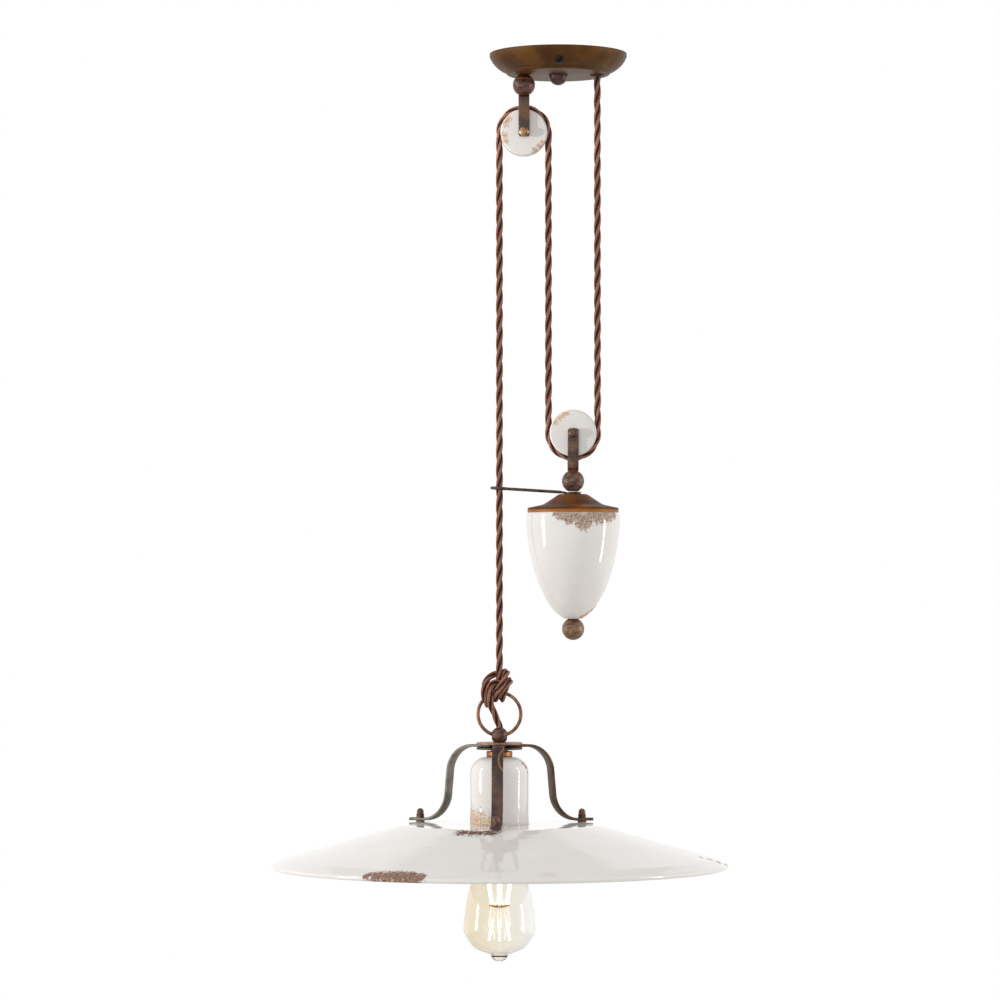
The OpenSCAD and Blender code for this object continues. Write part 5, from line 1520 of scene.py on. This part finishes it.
@dataclass
class LampHead:
    """Ball, discs, three strap arms, nuts, ceramic cup and the lampholder inside it."""

    layout: Layout
    strap_width: float = 10.4
    strap_thick: float = 2.5
    shoulder: float = 25.7
    ankle: float = 26.5
    lean: float = 5.4
    foot_in: float = 82.0
    foot_out: float = 96.6
    turn: float = -92.0
    cup_r: float = 27.0
    cup_wall: float = 4.0
    cup_edge: float = 15.0

    def arm_line(self) -> Array:
        """Middle line of an arm: level, shoulder arc, straight, ankle arc and level foot."""
        at, lean = self.layout, math.radians(self.lean)
        top = at.disc_z - 2 - self.strap_thick / 2
        foot = at.shade_z + 1 + self.strap_thick / 2
        straight = (top - foot - (self.shoulder + self.ankle) * (1 - math.sin(lean))) / math.cos(lean)
        x = self.foot_in - (self.shoulder + self.ankle) * math.cos(lean) - straight * math.sin(lean)
        return np.vstack([
            [6, top], arc((x, top - self.shoulder), self.shoulder, 90, self.lean, 48),
            arc((self.foot_in, foot + self.ankle), self.ankle, 180 + self.lean, 270, 48), [self.foot_out, foot],
        ])

    def arm(self, angle: float) -> Surface:
        """One arm in the upright plane at an angle about the lamp's axis."""
        t = math.radians(angle)
        plane = Plane((self.layout.lamp_x, 0, 0), (math.cos(t), math.sin(t), 0))
        return strap(self.arm_line(), plane, self.strap_width, self.strap_thick, 2.0)

    def disc(self, top: float, radius: float = 21.0) -> Surface:
        """A clamping disc 2 mm thick with eased edges."""
        line = eased(np.array([[4.7, top], [radius, top], [radius, top - 2], [4.7, top - 2]]), 0.5, closed=True)
        return turned(line, self.layout.lamp_x)

    def collar(self) -> Surface:
        """The collar nut and its neck."""
        z = self.layout.cup_z
        line = eased(np.array([[4.55, z], [12, z], [12, z + 4.9], [8, z + 4.9], [8, z + 6.5], [4.55, z + 6.5]]),
                     [0, 0.7, 0.7, 0.4, 0, 0], closed=True)
        return turned(line, self.layout.lamp_x)

    def cup(self) -> Surface:
        """The ceramic cup: flat top, shoulder arc and straight side, and the same inside."""
        z, r, end = self.layout.cup_z, self.cup_r, self.layout.shade_z - 4.6
        c = (r - self.cup_edge, z - self.cup_edge)
        line = np.vstack([
            [4.7, z], arc(c, self.cup_edge, 90, 0, 24), [r, end + 1], [r - 0.3, end + 0.3], [r - 1, end],
            [r - self.cup_wall, end], arc(c, self.cup_edge - self.cup_wall, 0, 90, 12), [4.7, z - self.cup_wall],
        ])
        return turned(line, self.layout.lamp_x, steps=144)

    def build(self, glaze: GlazedPorcelain) -> None:
        """Build and dress the lamp's head.

        Args:
            glaze: The porcelain's glaze.
        """
        at, me = self.layout, Body.LAMP
        x = at.lamp_x
        rust = WaxedRust("#35221E", "#6E4C40", "#9A5A30", 6.0, 0.16, grain=2.4).material("Waxed rusty small ball")
        fit(softened("lamp_ball", "ball_lamp", 0.0), me, "balls", rust)
        brass = BareMetal("#B08D4F", "#8A6A3A", 0.3).material("Brass nipple and contacts")
        fit(softened("nipple_tube", "nipple_dress", 0.1), me, "tube", brass)
        tan = WaxedRust("#7A5A40", "#9A7A5A", "#A8743F", 7.0, 0.25, 0.6, 0.4).material("Tan worn steel disc")
        grey = WaxedRust("#2E2826", "#4A3C36", "#8A5A38", 6.0, 0.2, 0.5, 0.4).material("Dark steel disc")
        fit(make("disc_upper", [self.disc(at.disc_z)]), me, "upper_disc", tan, "upper_disc")
        fit(make("disc_lower", [self.disc(at.disc_z - 4.5)]), me, "lower_disc", grey, "lower_disc")
        copper = WaxedRust("#7A5038", "#B07A50", "#C08040", 4.0, 0.3, 0.8, 0.3).material("Coppery collar nut")
        fit(make("collar_dress", [self.collar()]), me, "collar", copper, "collar_nut")
        front = WaxedRust("#33221C", "#584036", "#8A6038", 16.0, 0.02, crescent=(-42.3, -646.5, 12.5)
                          ).material("Dark purple brown strap")
        left = WaxedRust("#565046", "#7C766A", "#7A5A3C", 16.0, 0.1, roughness=0.44).material("Grey olive strap")
        right = WaxedRust("#38281C", "#664A30", "#8A5A30", 14.0, 0.16).material("Olive brown strap")
        for node, angle, material in (("arm_front", self.turn, front), ("arm_left", self.turn - 120, left),
                                      ("arm_right", self.turn + 120, right)):
            fit(make(node + "_dress", [self.arm(angle)], 40), me, "arms", material, node)
        fibre = Moulded("#9A6A44", "#84583A", 0.7, 0.6).material("Red vulcanised fibre pads")
        zinc = BareMetal().material("Zinc plated bolts")
        nuts = WaxedRust("#3A2A22", "#6E4E3E", "#8A5A38", 3.0, 0.2, 0.5, 0.3).material("Dark brown domed nuts")
        fit_small(me, ("shade_pads", "pads_dress", 0.15, "pads", fibre),
                  ("shade_bolts", "bolts_dress", 0.2, "steel", zinc),
                  ("domed_nuts", "nuts_dress", 0.25, "steel", nuts))
        flakes = (
            Flake(((-79, -8, -700, 6.5), (-73, -19.5, -703, 7), (-65, -25, -704, 6), (-58, -27, -705, 5)),
                  "#B08060", "#E8CFB0", "#D8B48E", 1.6, 6.5, 2.2),
            Flake(((-30, -9, -654, 2.2), (-32.5, -11, -651, 1.8), (-29, -8, -659, 1.4)), "#8A5030", "#B87848"),
        )
        fit(make("cup_dress", [self.cup()], 35), me, "cup", glaze.material("Glazed porcelain cup", flakes),
            "ceramic_cup")
        bakelite = Moulded("#1C1B1B", "#262322", 0.3, 0.6).material("Black moulded holder cap")
        bisque = Moulded("#E9E4DA", "#DDD6C8", 0.6, 0.7, 0.00012).material("Unglazed porcelain holder")
        fit_small(me, ("holder_cap", "holder_cap_dress", 0.3, "holder_cap", bakelite),
                  ("holder_body", "holder_body_dress", 0.3, "holder_body", bisque),
                  ("screw_shell", "screw_shell_dress", 0.0, "contact", brass),
                  ("centre_contact", "contact_dress", 0.1, "contact", brass))


@dataclass
class Shade:
    """The wide glazed shade: flat top, rounded edge, long slope, steeper band and a small lip."""

    layout: Layout
    radius: float = 210.0
    wall: float = 4.0
    flat_r: float = 87.0
    edge_r: float = 20.0
    slope: float = 15.5
    band_slope: float = 25.0
    band: float = 10.5
    lip: float = 4.8
    hole_r: float = 27.6

    def side(self, t: float) -> Array:
        """Outline from the flat top to the band's edge, moved inwards by t."""
        s, b = math.radians(self.slope), math.radians(self.band_slope)
        z = self.layout.shade_z
        cone_x = self.flat_r + self.edge_r * math.sin(s)
        cone_drop = self.edge_r * (1 - math.cos(s))
        rim_x = self.radius - 2.5
        band_x = rim_x - self.band
        drop = cone_drop + (band_x - cone_x) * math.tan(s)
        low = drop + self.band * math.tan(b)
        return np.vstack([
            arc((self.flat_r, z - self.edge_r), self.edge_r - t, 90, 90 - self.slope, 12),
            [band_x - t * math.sin(s), z - drop - t * math.cos(s)],
            [rim_x - t * math.sin(b), z - low - t * math.cos(b)],
        ])

    def surface(self) -> Surface:
        """The shade's wall turned about the lamp's axis."""
        z = self.layout.shade_z
        outer, inner = self.side(0), self.side(self.wall)
        rim_x, rim_z = outer[-1]
        lip_z = rim_z - self.lip
        mid = self.radius - self.wall / 2
        outer, inner = (eased(side, [0] * 13 + [6, 0], 8) for side in (outer, inner))
        line = np.vstack([
            [self.hole_r, z - 0.8], [self.hole_r + 0.8, z], outer[:-1],
            bow((rim_x, rim_z), (self.radius, rim_z - 2.4), -3, 6),
            arc((mid, lip_z + self.wall / 2), self.wall / 2, 0, -180, 12), inner[::-1],
            [self.hole_r, z - self.wall],
        ])
        return turned(line, self.layout.lamp_x, steps=288)

    def build(self, glaze: GlazedPorcelain) -> None:
        """The shade with its chips."""
        flakes = (
            Flake(((-168, -172, -742.5, 5), (-160, -177, -742, 7.5), (-151, -182, -742, 9),
                   (-141, -187, -742, 10),
                   (-132, -191, -742, 9), (-124, -194, -742.5, 7)), "#3A221A", "#9A7A68", "#C5AD9D", 1.3, 2.6,
                  3.0),
            Flake(((-87, -92, -709, 6), (-79, -95, -709, 6.6), (-71, -97, -709, 6.4), (-63, -98, -709, 6)),
                  "#2A1812", "#7A5A48", "#A08878", 1.3, 6.0, 2.6),
            Flake(((128, -46, -734, 2.4), (136, -44, -736, 3), (144, -40, -739, 3), (151, -34, -742, 2.4)),
                  "#4A342C", "#8A7060", "#CDB8A8"),
        )
        fit(make("shade_dress", [self.surface()], 35), Body.LAMP, "shade",
            glaze.material("Glazed porcelain shade", flakes), "shade")


@dataclass
class Bulb:
    """A filament-style LED bulb: blown glass, screw cap, stem and six bars."""

    layout: Layout
    top_z: float = -717.0
    tip_z: float = -832.3
    belly_z: float = -799.3
    radius: float = 33.0
    neck_r: float = 11.7
    glass: float = 1.0

    def outline(self, t: float) -> Array:
        """Outline of the glass from its neck to its tip, moved inwards by t."""
        r, z, b, end = self.radius, self.top_z, self.belly_z, self.tip_z + 6
        return spline([
            [self.neck_r - t, z], [self.neck_r + 0.9 - t, z - 5], [0.6 * r - t, z - 0.34 * (z - b)],
            [0.85 * r - t, z - 0.6 * (z - b)], [r - t, b], [0.93 * (r - t), b - 0.39 * (b - end - t)],
            [0.69 * (r - t), b - 0.76 * (b - end - t)], [0.3 * (r - t), b - 0.97 * (b - end - t)], [0, end + t],
        ], 12)

    def envelope(self) -> Surface:
        """The glass wall: outside from the tip up to the neck, then inside back to the tip."""
        outer, inner = self.outline(0), self.outline(self.glass)
        nub = np.array([[0, self.tip_z], [3.5, self.tip_z + 0.7], [6.2, self.tip_z + 2.6],
                        [7.7, self.tip_z + 5.2]])
        nub = spline(nub.tolist(), 6)
        keep = outer[outer[:, 0] > 8.6]
        join = spline([nub[-1].tolist(), [8.1, self.tip_z + 6.1], keep[-1].tolist()], 4)[1:-1]
        outer = np.vstack([keep, join[::-1], nub[::-1]])
        return turned(np.vstack([outer[::-1], inner]), self.layout.lamp_x, steps=96)

    def bars(self, start: float, radius: float, length: float, lean: float, thick: float) -> list[Surface]:
        """Six bars in a cone: P(s) = start + out (radius + s sin a) + up s cos a.

        Args:
            start: Height of their first ends.
            radius: Distance of those ends from the axis.
            length: Length, below zero for downwards.
            lean: The angle a in degrees.
            thick: Radius of a bar.

        Returns:
            The bars.
        """
        a = math.radians(lean)
        s = np.linspace(0, length, 18)[:, None]
        made = []
        for i in range(6):
            turn = math.radians(60 * i + 30)
            out = np.array([math.cos(turn), math.sin(turn), 0])
            path = np.array([self.layout.lamp_x, 0, start]) + out * (radius + abs(s) * math.sin(a)) \
                + np.array([0, 0, 1]) * s * math.cos(a)
            made.append(rod(path, np.cross(out, [0, 0, 1]), thick, 12))
        return made

    def build(self) -> None:
        """Build and dress the bulb."""
        me = Body.LAMP
        fit(make("glass_dress", [self.envelope()], 60), me, "bulb_glass",
            BlownGlass().material("Amber blown glass"), "bulb_glass")
        nickel = BareMetal("#C4C0B8", "#9A9488", 0.25).material("Nickel plated bulb cap")
        fit(softened("bulb_cap", "bulb_cap_dress", 0.1), me, "bulb_cap", nickel)
        stem = BlownGlass("#F4F0E6", "#FFFFFF").material("Clear glass stem")
        fit(softened("bulb_stem", "stem_dress", 0.0), me, "bulb_stem", stem)
        glow = Glow().material("Lit phosphor coated bars")
        start = self.belly_z + 20
        bars = self.bars(start, 4, -34, 12, 0.9) + self.bars(start, 8, 26, 10, 1.5)
        fit(make("bars", bars), me, "filaments", glow, "bulb_filaments")
        z = self.belly_z + 18.2
        joint = turned(np.array([[0, z - 2.2], [3, z - 2.2], [9, z - 0.6], [9.4, z], [9, z + 0.6], [0, z + 0.6]]),
                       self.layout.lamp_x, steps=48)
        gilt = BareMetal("#B08A4A", "#6E4E22", 0.35).material("Brass joint between the bars")
        fit(make("bar_joint", [joint]), me, "contact", gilt)


def main() -> None:
    """Build the studio, the cord and every sub-assembly."""
    logging.basicConfig(level=logging.INFO, format="%(name)s: %(message)s")
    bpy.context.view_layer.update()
    layout = Layout()
    Studio().build()
    Cord(layout).build()
    glaze = GlazedPorcelain()
    wheel_flakes = (
        Flake(((-46, -6, -60.5, 3.2), (-48.5, -6, -65, 3), (-50, -6, -76, 3.4), (-48.5, -6, -80.5, 3),
               (-17, -6, -86, 3.4), (-14.5, -6, -82.5, 2.8), (-21, -6, -89.5, 2.8)), "#8E6E5A", "#CDB4A0",
              "#E0D0C2", 1.1, 3.0),
        Flake(((-3, -6, -339.5, 2.6), (0.5, -6, -335.6, 3.2), (4.2, -6, -332.6, 3), (8, -6, -331, 2.4)),
              "#9A7A64", "#CDB8A4", "#E0D0C2", 1.1, 2.0),
    )
    # Painted shade: the wheels' glaze is the porcelain drawn about a tenth darker, so that their spot-lit parts
    # stand out from the forks' shadows.
    shaded_wheel_glaze = GlazedPorcelain("#CCC8C3", "#C2BDB8").material("Glazed porcelain wheel with painted shade", wheel_flakes)
    brass = BareMetal("#B08D4F", "#7A5E34", 0.3).material("Brass bush")
    Canopy(layout).build()
    Pulley(layout.upper_x, layout.upper_axle_z, Body.UPPER_PULLEY, "upper", shaded_wheel_glaze, brass).build()
    Pulley(layout.lower_x, layout.lower_axle_z, Body.LOWER_PULLEY, "lower", shaded_wheel_glaze, brass).build()
    Counterweight(layout).build(glaze)
    Hanger(layout).build()
    LampHead(layout).build(glaze)
    Shade(layout).build(glaze)
    Bulb(layout).build()


if __name__ == "__main__":
    main()
